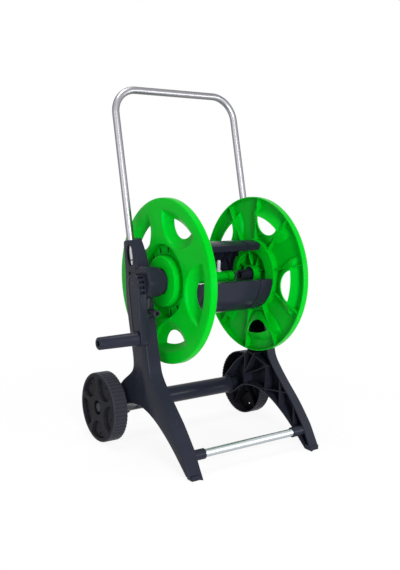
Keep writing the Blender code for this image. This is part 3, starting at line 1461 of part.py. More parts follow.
def wheel(name, side):
    """A moulded wheel: pocketed outer face, ribbed open back, hub tube and a recess for its cap."""
    axis = (side * (WHEEL_X - WHEEL_WIDTH / 2), AXLE_Y, AXLE_Z)
    bm = bmesh.new()
    half = WHEEL_WIDTH / 2
    limit = WHEEL_RADIUS - WHEEL_RIM
    outlines = (
        (WHEEL_POCKET_CENTRE, WHEEL_POCKET_RADIUS, limit, half),
        (
            WHEEL_POCKET_CENTRE,
            WHEEL_POCKET_RADIUS - WHEEL_POCKET_DRAFT,
            limit - WHEEL_POCKET_DRAFT,
            half - WHEEL_POCKET_DEPTH,
        ),
    )
    steps = (ARC_STEPS, ROUND_STEPS, 1, PLAIN_SIDES)
    crease, floors, recess = pocketed_face(
        bm, WHEEL_POCKETS, WHEEL_POCKET_ANGLE, half, limit, outlines, WHEEL_RECESS_RADIUS, steps
    )
    for floor in floors:
        bm.faces.new(floor)
    rings = [crease]
    for x, radius in (
        (half, WHEEL_RADIUS - WHEEL_EDGE),
        (half - WHEEL_EDGE, WHEEL_RADIUS),
        (-half, WHEEL_RADIUS),
    ):
        rings.append(around(bm, rings[-1], x, radius))
    for inner, outer in zip(rings, rings[1:]):
        skin(bm, inner, outer)
    seat = around(bm, recess, half - WHEEL_RECESS_DEPTH, WHEEL_RECESS_RADIUS - WALL_DRAFT)
    skin(bm, recess, seat)
    bm.faces.new(seat)
    face_outward(bm, Vector((1, 0, 0)))
    mirror_to(bm, side)
    body = thicken(add_mesh(name, bm, location=axis), WHEEL_WALL)
    bm = bmesh.new()
    back = half - WHEEL_POCKET_DEPTH - WHEEL_WALL / 2
    front = half - WHEEL_RECESS_DEPTH - WHEEL_WALL / 2
    low, high = (AXLE_RADIUS + WHEEL_HUB_RADIUS) / 2, WHEEL_RADIUS - WHEEL_WALL / 2
    for k in range(WHEEL_RIBS):
        angle = WHEEL_POCKET_ANGLE + 2 * math.pi * (k + 0.5) / WHEEL_RIBS
        shape = [
            (front, low),
            (front, WHEEL_RECESS_RADIUS),
            (back, WHEEL_RECESS_RADIUS + WHEEL_RIB_STEP),
            (back, high),
            (back - WHEEL_RIB_DEPTH, high),
            (back - WHEEL_RIB_DEPTH, low),
        ]
        blade(bm, shape, angle, WHEEL_RIB, side)
    ribs = add_mesh(name + "_ribs", bm, location=axis, cutter=True)
    stations = [(side * -half, WHEEL_HUB_RADIUS), (side * front, WHEEL_HUB_RADIUS)]
    profile = [(stations[0][0], 0), *stations, (stations[1][0], 0)]
    join(body, ribs, turned(name + "_hub", profile, PLAIN_SIDES, location=axis, cutter=True))
    bm = bmesh.new()
    for k in range(WHEEL_POCKETS):
        angle = WHEEL_POCKET_ANGLE + 2 * math.pi * k / WHEEL_POCKETS
        ends = [polar(x, WHEEL_HOLE_CENTRE, angle) for x in (0, side * WHEEL_WIDTH)]
        add_rod(bm, *ends, WHEEL_HOLE_RADIUS, SMALL_SIDES)
    add_rod(bm, (-WHEEL_WIDTH, 0, 0), (WHEEL_WIDTH, 0, 0), AXLE_RADIUS + RUNNING_GAP, SMALL_SIDES)
    cut(body, add_mesh(name + "_holes", bm, location=axis, cutter=True))
    return finish(body, "wheel_plastic")


def wheel_cap(name, side):
    """The push-on cap that holds a wheel on the axle, in the recess of the wheel's face."""
    front = CAP_BACK_X + CAP_THICKNESS
    grip = AXLE_RADIUS + SEAT_GAP
    profile = [
        (side * front, 0),
        (side * front, CAP_RADIUS - CAP_EDGE),
        (side * (front - CAP_EDGE), CAP_RADIUS),
        (side * CAP_BACK_X, CAP_RADIUS),
        (side * CAP_BACK_X, grip),
        (side * (AXLE_END_X + SEAT_GAP), grip),
        (side * (AXLE_END_X + SEAT_GAP), 0),
    ]
    return finish(turned(name, profile, PLAIN_SIDES, location=(0, AXLE_Y, AXLE_Z)), "black_plastic")


def water_inlet():
    """The fixed elbow: a nipple that faces forward below the boss, and a riser into the boss."""
    front = INLET_Y - INLET_BODY_END_Y
    end = INLET_Y - INLET_NIPPLE_END_Y
    neck = INLET_NIPPLE_RADIUS - INLET_BEAD_HEIGHT
    profile = [
        (-INLET_BODY_BACK, 0),
        (-INLET_BODY_BACK, INLET_BODY_RADIUS),
        (front, INLET_BODY_RADIUS),
        (front, neck),
        (end - INLET_BEAD, neck),
        (end - INLET_BEAD, INLET_NIPPLE_RADIUS),
        (end - INLET_EDGE, INLET_NIPPLE_RADIUS),
        (end, INLET_NIPPLE_RADIUS - INLET_EDGE),
        (end, INLET_BORE),
        (-INLET_BORE, INLET_BORE),
        (-INLET_BORE, 0),
    ]
    body = turned("water_inlet", profile, PLAIN_SIDES, parent=CART, location=(-INLET_X, INLET_Y, INLET_Z))
    body.rotation_euler = (0, 0, -math.pi / 2)
    column = (-INLET_X, INLET_Y)
    start = (*column, INLET_Z)
    bm = bmesh.new()
    add_rod(bm, start, (*column, INLET_TOP_Z), INLET_RISER_RADIUS, SMALL_SIDES)
    riser = add_mesh("inlet_riser", bm, cutter=True)
    bore = rod_cutter("inlet_riser_bore", start, (*column, 0), INLET_BORE, SMALL_SIDES)
    join(body, riser)
    cut(body, bore)
    return finish(body, "dark_plastic")


def hub_bush(name, side):
    """The bearing ring between a side frame's journal and the reel."""
    (radius, journal_end), (bore, tube_end) = journal(side), hub_tube(side)
    middle = side * (max(journal_end, tube_end) + BUSH_INSET + BUSH_LENGTH / 2)
    inner, outer = radius + SEAT_GAP, bore - SEAT_GAP
    return ring(name, middle, inner, outer, BUSH_LENGTH, FINE_SIDES, "black_plastic")


def spindle_plug():
    """The stopper in the open end of the spindle."""
    stations = [
        (SPINDLE_END_X - PLUG_REACH, SPINDLE_BORE - SEAT_GAP),
        (SPINDLE_END_X + SEAT_GAP, SPINDLE_BORE - SEAT_GAP),
        (SPINDLE_END_X + SEAT_GAP, SPINDLE_NECK_RADIUS),
        (SPINDLE_END_X + PLUG_HEAD, SPINDLE_NECK_RADIUS),
    ]
    return stepped_pin("spindle_plug", stations, SMALL_SIDES, "black_plastic", REEL)


def build():
    for name, side in (("left", -1), ("right", 1)):
        finish(flange(name + "_flange", side), "green_plastic")
        side_frame(name + "_side_frame", side)
        wheel(name + "_wheel", side)
        wheel_cap(name + "_wheel_cap", side)
        handle_screw(name + "_handle_screw", side)
        rod_screw(name + "_rod_screw", side)
        hub_bush(name + "_hub_bush", side)
    for k in range(SHELLS):
        finish(drum_shell(f"drum_shell_{k + 1}", k), "black_plastic")
    spindle()
    spindle_plug()
    seal("outer_seal", -INLET_X - SEAL_SPREAD)
    seal("inner_seal", -INLET_X + SEAL_SPREAD)
    hose_outlet()
    crank_arm()
    crank_screw()
    crank_grip()
    handle_tube()
    crossbar()
    front_rod()
    wheel_axle()
    water_inlet()


build()
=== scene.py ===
"""Looks of the hose reel cart: finely modelled pieces in place of its plain solids, with materials, floor,
light and camera.

Metres, +Z up. As in the solids, lengths are measured from the reel's axis at the middle of the cart: x across
with the crank toward -X, y back, z up. SHIFT takes them to the row frame. A side is -1 on the left, where the
crank is, and 1 on the right. A profile is a list of (x, radius) points.
"""

import json
import math

import bmesh
import bpy
from mathutils import Matrix, Vector
from mathutils.bvhtree import BVHTree
from mathutils.geometry import interpolate_bezier

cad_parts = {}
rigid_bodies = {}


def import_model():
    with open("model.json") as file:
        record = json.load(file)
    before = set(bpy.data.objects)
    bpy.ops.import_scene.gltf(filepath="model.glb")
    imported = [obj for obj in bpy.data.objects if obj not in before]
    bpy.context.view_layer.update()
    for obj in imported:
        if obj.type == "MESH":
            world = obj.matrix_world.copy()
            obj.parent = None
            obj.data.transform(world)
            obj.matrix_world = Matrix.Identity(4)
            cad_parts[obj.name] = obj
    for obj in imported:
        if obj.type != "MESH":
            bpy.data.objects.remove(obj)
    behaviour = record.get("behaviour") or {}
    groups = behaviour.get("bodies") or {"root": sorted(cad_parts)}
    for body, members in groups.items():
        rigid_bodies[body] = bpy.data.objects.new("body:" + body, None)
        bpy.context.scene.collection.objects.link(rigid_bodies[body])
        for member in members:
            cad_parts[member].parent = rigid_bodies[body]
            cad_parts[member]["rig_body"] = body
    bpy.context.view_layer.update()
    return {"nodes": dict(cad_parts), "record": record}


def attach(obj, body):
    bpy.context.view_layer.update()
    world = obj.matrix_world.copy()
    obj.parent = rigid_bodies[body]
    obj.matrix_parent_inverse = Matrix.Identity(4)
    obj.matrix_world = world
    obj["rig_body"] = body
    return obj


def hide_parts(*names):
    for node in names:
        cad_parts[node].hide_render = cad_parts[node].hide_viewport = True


for leftover in list(bpy.data.objects):
    bpy.data.objects.remove(leftover, do_unlink=True)
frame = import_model()

# Clearances
SEAT_GAP = 0.0003
RUNNING_GAP = 0.0006

# Reel flanges, alike on both sides
REEL_HEIGHT = 0.4012
FLANGE_X = 0.1381
FLANGE_RADIUS = 0.190
FLANGE_WALL = 0.0025
LIP_DEPTH = 0.0162
LIP_ROUNDING = 0.0035
CREASE_RADIUS = 0.164
RECESS_RADIUS = 0.0853
RECESS_DEPTH = 0.0161
HUB_RADIUS = 0.0583
HUB_STAND = 0.0045
HUB_TUBE_BORE = 0.0305
HUB_TUBE_END_X = 0.098
FAR_TUBE_BORE = 0.0203
FAR_TUBE_END_X = 0.113
WALL_DRAFT = 0.0012

# Pockets and windows of a flange
WINDOWS = 5
WINDOW_ANGLE = math.radians(-4.5)
POCKET_RADIUS = 0.070
POCKET_LAND = 0.0067
POCKET_CENTRE = RECESS_RADIUS + POCKET_LAND + POCKET_RADIUS
POCKET_STEP = 0.007
POCKET_STEP_RUN = 0.003
WINDOW_CENTRE = 0.1525
WINDOW_RADIUS = 0.0395
WINDOW_REACH = 0.145
WINDOW_DEPTH = 0.0165
FINS_PER_WINDOW = 2
FIN_THICKNESS = 0.0021
FIN_DEPTH = 0.0158
HUB_RIBS = 8
HUB_RIB_DEPTH = 0.014

# Drum shells between the flanges
DRUM_RADIUS = 0.0855
DRUM_WALL = 0.0025
SHELLS = 2
SHELL_ANGLE = math.radians(122)
SHELL_HALF_SPAN = math.radians(57)
SHELL_EDGE_DEPTH = 0.0160
LATTICE_DEPTH = 0.009
LATTICE_THICKNESS = 0.002
RIB_ROOT = 0.0018
RIB_OFFSET = 0.0005
LATTICE_CELLS_LONG = 5
LATTICE_CELLS_ROUND = 2
SHELL_END_BAND = 0.036
SHELL_GROOVE = 0.0016
SHELL_GROOVE_WIDTH = 0.006
SHELL_EDGE_GROOVE = 0.0009
TONGUES = 3
TONGUE_PITCH = math.radians(26.5)
TONGUE_SHIFT = math.radians(7)
TONGUE_WIDTH = 0.0070
TONGUE_INNER = 0.0655
TONGUE_OUTER = 0.0795
TONGUE_REACH = 0.0015
TONGUE_ROOT = 0.0095
TONGUE_PAD = 0.0030
TONGUE_PAD_EDGE = 0.0015
TONGUE_PAD_MARGIN = math.radians(3)

# Water spindle, its seals and the connector inside the drum
SPINDLE_RADIUS = 0.015
SPINDLE_NECK_RADIUS = 0.0130
SPINDLE_BORE = 0.006
SPINDLE_END_X = 0.060
SPINDLE_WAIST_RADIUS = 0.0100
SPINDLE_WAIST_X = 0.036
SPINDLE_WAIST_LENGTH = 0.008
OUTLET_X = 0.021
OUTLET_RADIUS = 0.0045
OUTLET_REACH = 0.040
OUTLET_WALL = 0.0015
OUTLET_FLANGE = 0.0025
OUTLET_FLANGE_TOP = 0.003
OUTLET_BEAD = 0.008
OUTLET_BEAD_HEIGHT = 0.001
OUTLET_DRAFT = 0.0005
SEAL_GROOVE = 0.0020
SEAL_SPREAD = 0.011
SPINDLE_COLLAR_RADIUS = 0.020
SPINDLE_COLLAR = 0.004

# Crank
CRANK_RADIUS = 0.1232
CRANK_LEAN = math.radians(9.6)
CRANK_X = 0.2165
CRANK_PIVOT_RADIUS = 0.0220
CRANK_TIP_RADIUS = 0.0185
CRANK_PANEL_DEPTH = 0.0012
CRANK_PANEL_RIM = 0.0035
CRANK_EDGE_ANGLE = math.radians(60)
CRANK_SLOTS = 5
CRANK_SLOT_START = 0.0250
CRANK_SLOT_PITCH = 0.0117
CRANK_SLOT_HEIGHT = 0.0068
CRANK_SLOT_DEPTH = 0.0095
CRANK_SLOT_MARGIN = 0.0035
CRANK_SCREW_RADIUS = 0.003
CRANK_SCREW_HEAD = 0.0055
CRANK_SCREW_REACH = 0.012
GRIP_LENGTH = 0.0965
GRIP_RADIUS = 0.0150
GRIP_END_RADIUS = 0.0140
GRIP_COLLAR_RADIUS = 0.0168
GRIP_COLLAR = 0.005
GRIP_COLLAR_FADE = 0.003
GRIP_EDGE = 0.001
GRIP_ROUNDING = 0.003
GRIP_MOUTH_RADIUS = 0.0066
GRIP_MOUTH_DEPTH = 0.016
PIN_RADIUS = 0.004
PIN_HEAD_RADIUS = 0.0058
PIN_HEAD = 0.0045
PIN_DEPTH = 0.009

# Side frames
LEG_INNER_X = 0.1575
LEG_OUTER_X = 0.1884
LEG_DRAFT = 0.0053
LEG_WALL = 0.003
LEG_RIB = 0.0024
LEG_RIB_SETBACK = 0.0012
LEG_FRONT = ((0.0627, 0.0937), (0.0450, 0.0690), (0.0285, 0.0400), (0.0180, 0.0000))
LEG_REAR = ((0.0753, -0.0880), (0.0840, -0.0500), (0.0881, 0.0080), (0.0935, 0.0500), (0.0975, 0.0800))
LEG_RIBS = (
    ((0.025, 0.052), (0.094, 0.038)),
    ((0.014, -0.050), (0.084, -0.060)),
    ((0.084, -0.060), (-0.002, -0.112)),
)

# Points of a side frame's lower part, as (y, height above the ground)
TOE_FRONT = (
    (-0.0263, 0.2251), (-0.0359, 0.1952), (-0.0600, 0.1662), (-0.0886, 0.1385), (-0.1295, 0.1004),
    (-0.1690, 0.0559),
)
TOE_ARCH = (
    (-0.1265, 0.0423), (-0.0880, 0.0682), (-0.0454, 0.0905), (-0.0006, 0.1032), (0.0400, 0.1027),
    (0.0720, 0.0932), (0.0990, 0.0722),
)
HEEL_REAR = (
    (0.1500, 0.0992), (0.1330, 0.1182), (0.0965, 0.1572), (0.0640, 0.1812), (0.0505, 0.1952),
    (0.0490, 0.2132), (0.0558, 0.2417),
)
TOE_RIBS = (
    ((-0.002, 0.2892), (0.066, 0.2612)),
    ((0.066, 0.2612), (-0.020, 0.2292)),
    ((-0.020, 0.2292), (0.052, 0.2012)),
    ((0.052, 0.1932), (-0.034, 0.1672)),
    ((0.0226, 0.1932), (0.0657, 0.1252)),
    ((-0.034, 0.1712), (0.070, 0.1212)),
    ((0.062, 0.1812), (0.062, 0.1012)),
    ((-0.023, 0.1712), (-0.023, 0.0972)),
    ((-0.010, 0.1072), (-0.130, 0.1212)),
    ((-0.077, 0.1512), (-0.080, 0.0712)),
    ((-0.131, 0.1012), (-0.133, 0.0412)),
)
LOBE_RADIUS = 0.0260
LOBE_START = math.radians(215)
LOBE_SPAN = math.radians(150)
SOLE_FRONT_Y = -0.2034
SOLE_REAR_Y = -0.1790
EYE_CENTRE = (0.0620, 0.0550)
EYE_HALF_WIDTH = 0.0135
EYE_HALF_HEIGHT = 0.0250

# Bosses of a side frame
BOSS_RADIUS = 0.0370
BOSS_TAPER = 0.0025
BOSS_OUTER_X = 0.1945
BOSS_INNER_X = 0.1545
BOSS_WALL = 0.0035
BOSS_EDGE = 0.0030
JOURNAL_RADIUS = 0.0280
JOURNAL_END_X = 0.1040
FAR_JOURNAL_RADIUS = 0.0128
FAR_JOURNAL_END_X = 0.0850
JOURNAL_SPLIT = 0.0030
JOURNAL_SPLIT_DEPTH = 0.0120
CHAMBER_HALF_LENGTH = 0.020

# Handle
HANDLE_X = 0.1739
HANDLE_RADIUS = 0.0087
HANDLE_Y = 0.0607
HANDLE_LEAN = math.radians(13.99)
HANDLE_TOP_Z = 0.4374
HANDLE_FOOT_Z = -0.034
HANDLE_BEND = 0.060
HANDLE_SCREW_Z = 0.012
HANDLE_SEAT_REACH = 0.030

# Crossbar, axle and wheels
AXLE_Y = 0.128
WHEEL_RADIUS = 0.0842
WHEEL_WIDTH = 0.036
WHEEL_X = 0.237
WHEEL_WALL = 0.0032
WHEEL_EDGE = 0.004
WHEEL_RIM = 0.010
WHEEL_POCKETS = 5
WHEEL_POCKET_ANGLE = math.radians(-13)
WHEEL_POCKET_CENTRE = 0.066
WHEEL_POCKET_RADIUS = 0.0335
WHEEL_POCKET_DEPTH = 0.006
WHEEL_POCKET_DRAFT = 0.003
WHEEL_HOLE_RADIUS = 0.0032
WHEEL_HOLE_CENTRE = 0.064
WHEEL_RECESS_RADIUS = 0.0175
WHEEL_RECESS_DEPTH = 0.010
WHEEL_HUB_RADIUS = 0.0125
WHEEL_RIBS = 5
WHEEL_RIB = 0.0022
WHEEL_RIB_DEPTH = 0.018
WHEEL_RIB_STEP = 0.004
AXLE_RADIUS = 0.005
AXLE_BOSS_RADIUS = 0.012
CAP_RADIUS = 0.0125
CAP_THICKNESS = 0.0065
CAP_EDGE = 0.002
CAP_FLOOR = 0.0018
CROSSBAR_RADIUS = 0.0215
CROSSBAR_WALL = 0.0026
SPIGOT_LENGTH = 0.017
SPIGOT_WALL = 0.0030

# Foot rod
ROD_Y = -0.162
ROD_HEIGHT = 0.0407
ROD_RADIUS = 0.009
ROD_WALL = 0.0015
ROD_SOCKET_RADIUS = 0.012
ROD_SOCKET_X = 0.1283
ROD_PLUG = 0.010
SCREW_RADIUS = 0.0025
SCREW_HEAD_RADIUS = 0.0050
SCREW_HEAD = 0.0030

# Water inlet in the front edge of the left side frame
INLET_X = 0.1700
INLET_Z = -0.067
INLET_Y = 0.010
INLET_BODY_RADIUS = 0.0120
INLET_BODY_END_Y = 0.004
INLET_BODY_BACK = 0.0096
INLET_NIPPLE_RADIUS = 0.0082
INLET_NIPPLE_END_Y = -0.031
INLET_BORE = 0.0045
INLET_RISER_RADIUS = 0.0080
INLET_BEAD = 0.0090
INLET_BEAD_HEIGHT = 0.0018
INLET_EDGE = 0.0010

# Roundness, in sides of a full turn, or steps of a curve
FINE_SIDES = 72
SHELL_STEPS = 36
LATTICE_STEPS = 6
PLAIN_SIDES = 40
SMALL_SIDES = 24
ARC_STEPS = 20
CURVE_STEPS = 5
ROUND_STEPS = 28
SPOKE_STEPS = 5
LOBE_STEPS = 14
CORNER_STEPS = 8
ARM_STEPS = 24
FIN_SAMPLES = 90
FIN_TOLERANCE = 0.0004

# Sizes that follow from those above
AXLE_Z = WHEEL_RADIUS - REEL_HEIGHT
ROD_Z = ROD_HEIGHT - REEL_HEIGHT
FLOOR_X = FLANGE_X - RECESS_DEPTH
HUB_X = FLANGE_X + HUB_STAND
SHELL_END_X = FLOOR_X - FLANGE_WALL - SEAT_GAP
CRANK_INNER_X = BOSS_OUTER_X + SEAT_GAP
GRIP_X = CRANK_X + RUNNING_GAP
JOURNAL_BORE = SPINDLE_RADIUS + RUNNING_GAP
CAP_BACK_X = WHEEL_X - WHEEL_RECESS_DEPTH + RUNNING_GAP
AXLE_END_X = CAP_BACK_X + CAP_THICKNESS - CAP_FLOOR - SEAT_GAP
WHEEL_INNER_X = WHEEL_X - WHEEL_WIDTH
INLET_TOP_Z = -(JOURNAL_RADIUS + JOURNAL_BORE) / 2
HANDLE_FOOT = HANDLE_FOOT_Z / math.cos(HANDLE_LEAN)
BOX_LEFT = -(GRIP_X + GRIP_LENGTH)
BOX_RIGHT = WHEEL_X
BOX_FRONT = SOLE_FRONT_Y
BOX_BACK = AXLE_Y + WHEEL_RADIUS

# Roundness and small forms that only the visible pieces have
EDGE_STEPS = 4
SOFT_STEPS = 3
WHEEL_SPOKE_STEPS = 2
FLANGE_ROUND = 0.0028
POCKET_LIP = 0.0040
LEG_ROUND = 0.0034
TREAD_RIBS = 56
TREAD_RIB_HEIGHT = 0.0016
TREAD_GROOVE_WIDTH = 0.0034
TREAD_BAND = 0.0045
TREAD_INSET = 0.0003
SMOOTH_ANGLE = math.radians(32)
WELD = 0.00001

# Stage: half the floor's width, the floor's own white near the cart and where that reaches full, and the
# world's light on the object
FLOOR_HALF = 12.0
FLOOR_DROP = 0.0005
FLOOR_GLOW = 0.90
FLOOR_FADE = (0.40, 0.95)
WORLD_FILL = 0.30

# The floor's gloss, its grain (fineness and detail) and its two tones
FLOOR_ROUGHNESS = 0.9
FLOOR_SPECULAR = 0.1
FLOOR_GRAIN = (3.0, 2.0)
FLOOR_TONES = ((0.93, 0.93, 0.93), (0.95, 0.95, 0.95))

# Lamps: place, target, size and power in watts
LAMPS = {
    "key": ((-0.75, -2.4, 0.85), (0, 0, 0.40), (0.5, 1.7), 62),
    "side": ((-2.7, -0.6, 1.2), (0, 0, 0.40), (1.8, 1.8), 15),
    "low": ((1.7, -2.1, 0.6), (0, 0, 0.35), (1.2, 0.9), 24),
    "top": ((-0.2, 0.2, 2.7), (0, 0, 0.4), (1.2, 1.2), 36),
}

# Camera: place from the reel's axis, turns in degrees, and lens in millimetres
CAMERA_PLACE = (-1.0804, -1.4762, 0.2605)
CAMERA_YAW = 35.37
CAMERA_PITCH = -8.69
CAMERA_ROLL = 1.17
CAMERA_LENS = 48.96

# Plastics: two tones, least and most roughness, fineness and relief of the mould's skin, and the colour and
# strength of the highlights
PLASTICS = {
    "green_plastic": (
        (0.0, 0.37, 0.008), (0.0, 0.42, 0.013), 0.30, 0.38, 1500, 0.04, (0.05, 0.90, 0.75), 0.09
    ),
    "black_plastic": (
        (0.0140, 0.0156, 0.0245), (0.0172, 0.0188, 0.0290), 0.18, 0.28, 2200, 0.08, (0.85, 0.92, 1), 0.09
    ),
    "wheel_plastic": (
        (0.0090, 0.0090, 0.0125), (0.0115, 0.0115, 0.0160), 0.24, 0.34, 2000, 0.12, (0.9, 0.9, 1), 0.03
    ),
    "grey_plastic": ((0.40, 0.42, 0.44), (0.47, 0.48, 0.50), 0.34, 0.44, 1800, 0.08, (1, 1, 1), 0.5),
    "dark_plastic": (
        (0.020, 0.022, 0.028), (0.026, 0.029, 0.036), 0.30, 0.42, 1800, 0.10, (0.9, 0.93, 1), 0.20
    ),
    "rubber": ((0.012, 0.012, 0.012), (0.018, 0.018, 0.018), 0.62, 0.78, 1600, 0.25, (1, 1, 1), 0.5),
}

# Fineness and detail of the plastics' colour drift and gloss patches, and detail and depth of their skin
DRIFT = (9.0, 3.0)
PATCHES = (34.0, 4.0)
SKIN_DETAIL = 2.0
SKIN_DEPTH = 0.0004

# The part of the noise that spans two tones: in the drift, and in all else
DRIFT_RANGE = (0.35, 0.65)
MARK_RANGE = (0.3, 0.7)

# The wheels' tread, made lighter with painted light: how deep its band reaches and its tone
TREAD_LIGHT_BAND = 0.004
TREAD_LIGHT_TONE = (0.030, 0.030, 0.039)

# Metals: two tones, least and most roughness, stretch and fineness of the marks, their relief, and the
# brightness that the painted shade leaves toward the outline, in place of darker reflections there
METALS = {
    "chrome_steel": ((0.33, 0.33, 0.355), (0.36, 0.36, 0.385), 0.36, 0.36, (6, 6, 0.5), 60, 0.0, 0.30),
    "zinc_steel": ((0.55, 0.60, 0.63), (0.63, 0.68, 0.71), 0.34, 0.38, (0.6, 8, 8), 70, 0.0, 0.6),
    "dark_steel": ((0.020, 0.020, 0.023), (0.035, 0.035, 0.039), 0.30, 0.42, (5, 5, 5), 90, 0.05, 1.0),
}

# Detail and depth of the metals' marks, and where the painted shade darkens them toward the outline
MARK_DETAIL = 4.0
MARK_DEPTH = 0.0002
EDGE_SHADE_RANGE = (0.10, 0.75)

# The reel's axis in the row frame, each solid's material, what the sides have unlike, and axes along X
SHIFT = Vector((-(BOX_LEFT + BOX_RIGHT) / 2, -(BOX_FRONT + BOX_BACK) / 2, REEL_HEIGHT))
SLOT_OF = {part["node"]: part["material_slot"] for part in frame["record"]["subparts"]}
HUB_TUBES = {-1: (HUB_TUBE_BORE, HUB_TUBE_END_X), 1: (FAR_TUBE_BORE, FAR_TUBE_END_X)}
JOURNALS = {-1: (JOURNAL_RADIUS, JOURNAL_END_X), 1: (FAR_JOURNAL_RADIUS, FAR_JOURNAL_END_X)}
WHEEL_AXIS = Vector((0, AXLE_Y, AXLE_Z))
ROD_AXIS = Vector((0, ROD_Y, ROD_Z))
REEL_AXIS = Vector((0, 0, 0))
GRIP_AXIS = Vector((0, -CRANK_RADIUS * math.sin(CRANK_LEAN), -CRANK_RADIUS * math.cos(CRANK_LEAN)))
HANDLE_SCREW_AXIS = Vector((0, HANDLE_Y + HANDLE_SCREW_Z * math.tan(HANDLE_LEAN), HANDLE_SCREW_Z))
MATERIALS = {}
workpieces = []


def add_object(name, data):
    obj = bpy.data.objects.new(name, data)
    bpy.context.scene.collection.objects.link(obj)
    return obj


def add_mesh(bm, location=(0, 0, 0), name="tool", side=1):
    """A work object, mirrored on the left side."""
    if side < 0:
        bmesh.ops.scale(bm, vec=(-1, 1, 1), verts=bm.verts)
        bmesh.ops.reverse_faces(bm, faces=bm.faces)
    mesh = bpy.data.meshes.new(name)
    bm.to_mesh(mesh)
    bm.free()
    obj = add_object(name, mesh)
    obj.location = SHIFT + Vector(location)
    workpieces.append(obj)
    return obj


def finish(obj):
    """Makes a modelled object the piece that stands for the solid of the same name."""
    node = obj.name.split(".")[0]
    slot = SLOT_OF[node]
    bpy.context.view_layer.update()
    evaluated = obj.evaluated_get(bpy.context.evaluated_depsgraph_get())
    mesh = bpy.data.meshes.new_from_object(evaluated)
    mesh.transform(obj.matrix_world)
    mesh.name = node + "_surface"
    mesh.materials.clear()
    mesh.materials.append(MATERIALS[slot])
    mesh.shade_smooth()
    mesh.set_sharp_from_angle(angle=SMOOTH_ANGLE)
    piece = add_object(node + "_surface", mesh)
    for old in workpieces:
        bpy.data.objects.remove(old, do_unlink=True)
    workpieces.clear()
    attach(piece, frame["nodes"][node]["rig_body"])
    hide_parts(node)


def spread(start, end, steps):
    """Evenly spaced values from the start to the end."""
    return [start + (end - start) * i / steps for i in range(steps + 1)]


def full_turn(steps):
    return spread(0, 2 * math.pi, steps)[:-1]


def quarter(x, radius, size):
    """Points of a rounded outer corner, from its face to its side."""
    return [
        (x - size * (1 - math.cos(turn)), radius - size * (1 - math.sin(turn)))
        for turn in spread(0, math.pi / 2, EDGE_STEPS)
    ]


def arc(centre, radius, start, end, steps):
    """Points (y, z) of an arc round a centre."""
    y, z = centre
    return [(y + radius * math.cos(turn), z + radius * math.sin(turn)) for turn in spread(start, end, steps)]


def filleted(stations, radius, plane):
    """The stations with each inner corner rounded. The plane gives the two values that span the section."""
    flat = [Vector([station[i] for i in plane]) for station in stations]
    made = [tuple(stations[0])]
    for i in range(1, len(stations) - 1):
        into, out = flat[i] - flat[i - 1], flat[i + 1] - flat[i]
        turn = into.angle(out)
        reach = radius * math.tan(turn / 2)
        before, corner, after = (Vector(stations[k]) for k in (i - 1, i, i + 1))
        start = corner.lerp(before, reach / into.length)
        end = corner.lerp(after, reach / out.length)
        for part in spread(0, turn, SOFT_STEPS):
            along = radius * (1 - math.cos(part)) / math.sin(turn)
            lead = radius * math.sin(part) - along * math.cos(turn)
            made.append(tuple(start + (corner - start) * lead / reach + (end - corner) * along / reach))
    made.append(tuple(stations[-1]))
    return made


def boolean(obj, operation, *others):
    for other in others:
        modifier = obj.modifiers.new(operation, "BOOLEAN")
        modifier.operation = operation
        modifier.object = other
        modifier.solver = "EXACT"
    return obj


def cut(obj, *tools):
    return boolean(obj, "DIFFERENCE", *tools)


def join(obj, *tools):
    return boolean(obj, "UNION", *tools)


def thicken(obj, thickness):
    """A wall behind an open surface."""
    modifier = obj.modifiers.new("wall", "SOLIDIFY")
    modifier.thickness = thickness
    modifier.offset = -1.0
    modifier.use_even_offset = True
    modifier.use_rim = True
    return obj


def turned(profile, sides, location=(0, 0, 0), name="tool", side=1):
    """A profile turned about the X axis: closed, or with both ends on the axis. The left side mirrors it."""
    bm = bmesh.new()
    verts = [bm.verts.new((side * x, 0, radius)) for x, radius in profile]
    ring = verts if profile[0][1] == 0 else verts + verts[:1]
    for ends in zip(ring, ring[1:]):
        bm.edges.new(ends)
    area = sum(a[0] * b[1] - b[0] * a[1] for a, b in zip(profile, profile[1:] + profile[:1]))
    obj = add_mesh(bm, location, name)
    screw = obj.modifiers.new("turn", "SCREW")
    screw.axis = "X"
    screw.steps = screw.render_steps = sides
    screw.use_merge_vertices = True
    screw.merge_threshold = WELD
    screw.use_normal_calculate = False
    screw.use_normal_flip = side * area < 0
    return obj


def add_rod(bm, start, end, radius, sides=SMALL_SIDES):
    """A cylinder between two points."""
    start, end = Vector(start), Vector(end)
    turn = Vector((0, 0, 1)).rotation_difference(end - start).to_matrix().to_4x4()
    place = Matrix.Translation((start + end) / 2) @ turn
    size = {"radius1": radius, "radius2": radius, "depth": (end - start).length}
    bmesh.ops.create_cone(bm, cap_ends=True, segments=sides, matrix=place, **size)


def hole(start, end, radius, sides=SMALL_SIDES):
    """The cutter of a round hole. Its flats lie on the circle, so that a pin of fewer sides clears them."""
    bm = bmesh.new()
    add_rod(bm, start, end, radius / math.cos(math.pi / sides), sides)
    return add_mesh(bm)


def x_hole(axis, near, far, radius, sides=SMALL_SIDES):
    """The cutter of a round hole along an axis that lies in the X direction."""
    return hole(axis + Vector((near, 0, 0)), axis + Vector((far, 0, 0)), radius, sides)


def add_box(bm, low, high, turn=Matrix()):
    """A box between two corners, then turned by a matrix."""
    low, high = Vector(low), Vector(high)
    place = Matrix.Translation((low + high) / 2) @ Matrix.Diagonal((*(high - low), 1.0))
    made = bmesh.ops.create_cube(bm, size=1.0, matrix=place)["verts"]
    bmesh.ops.transform(bm, matrix=turn, verts=made)


def about_x(angle):
    return Matrix.Rotation(angle, 4, "X")


def polar(x, radius, angle):
    """The point at this radius and angle round the reel's axis, the angle rising from the front."""
    return Vector((x, -radius * math.cos(angle), radius * math.sin(angle)))


def loop(bm, points):
    return [bm.verts.new(point) for point in points]


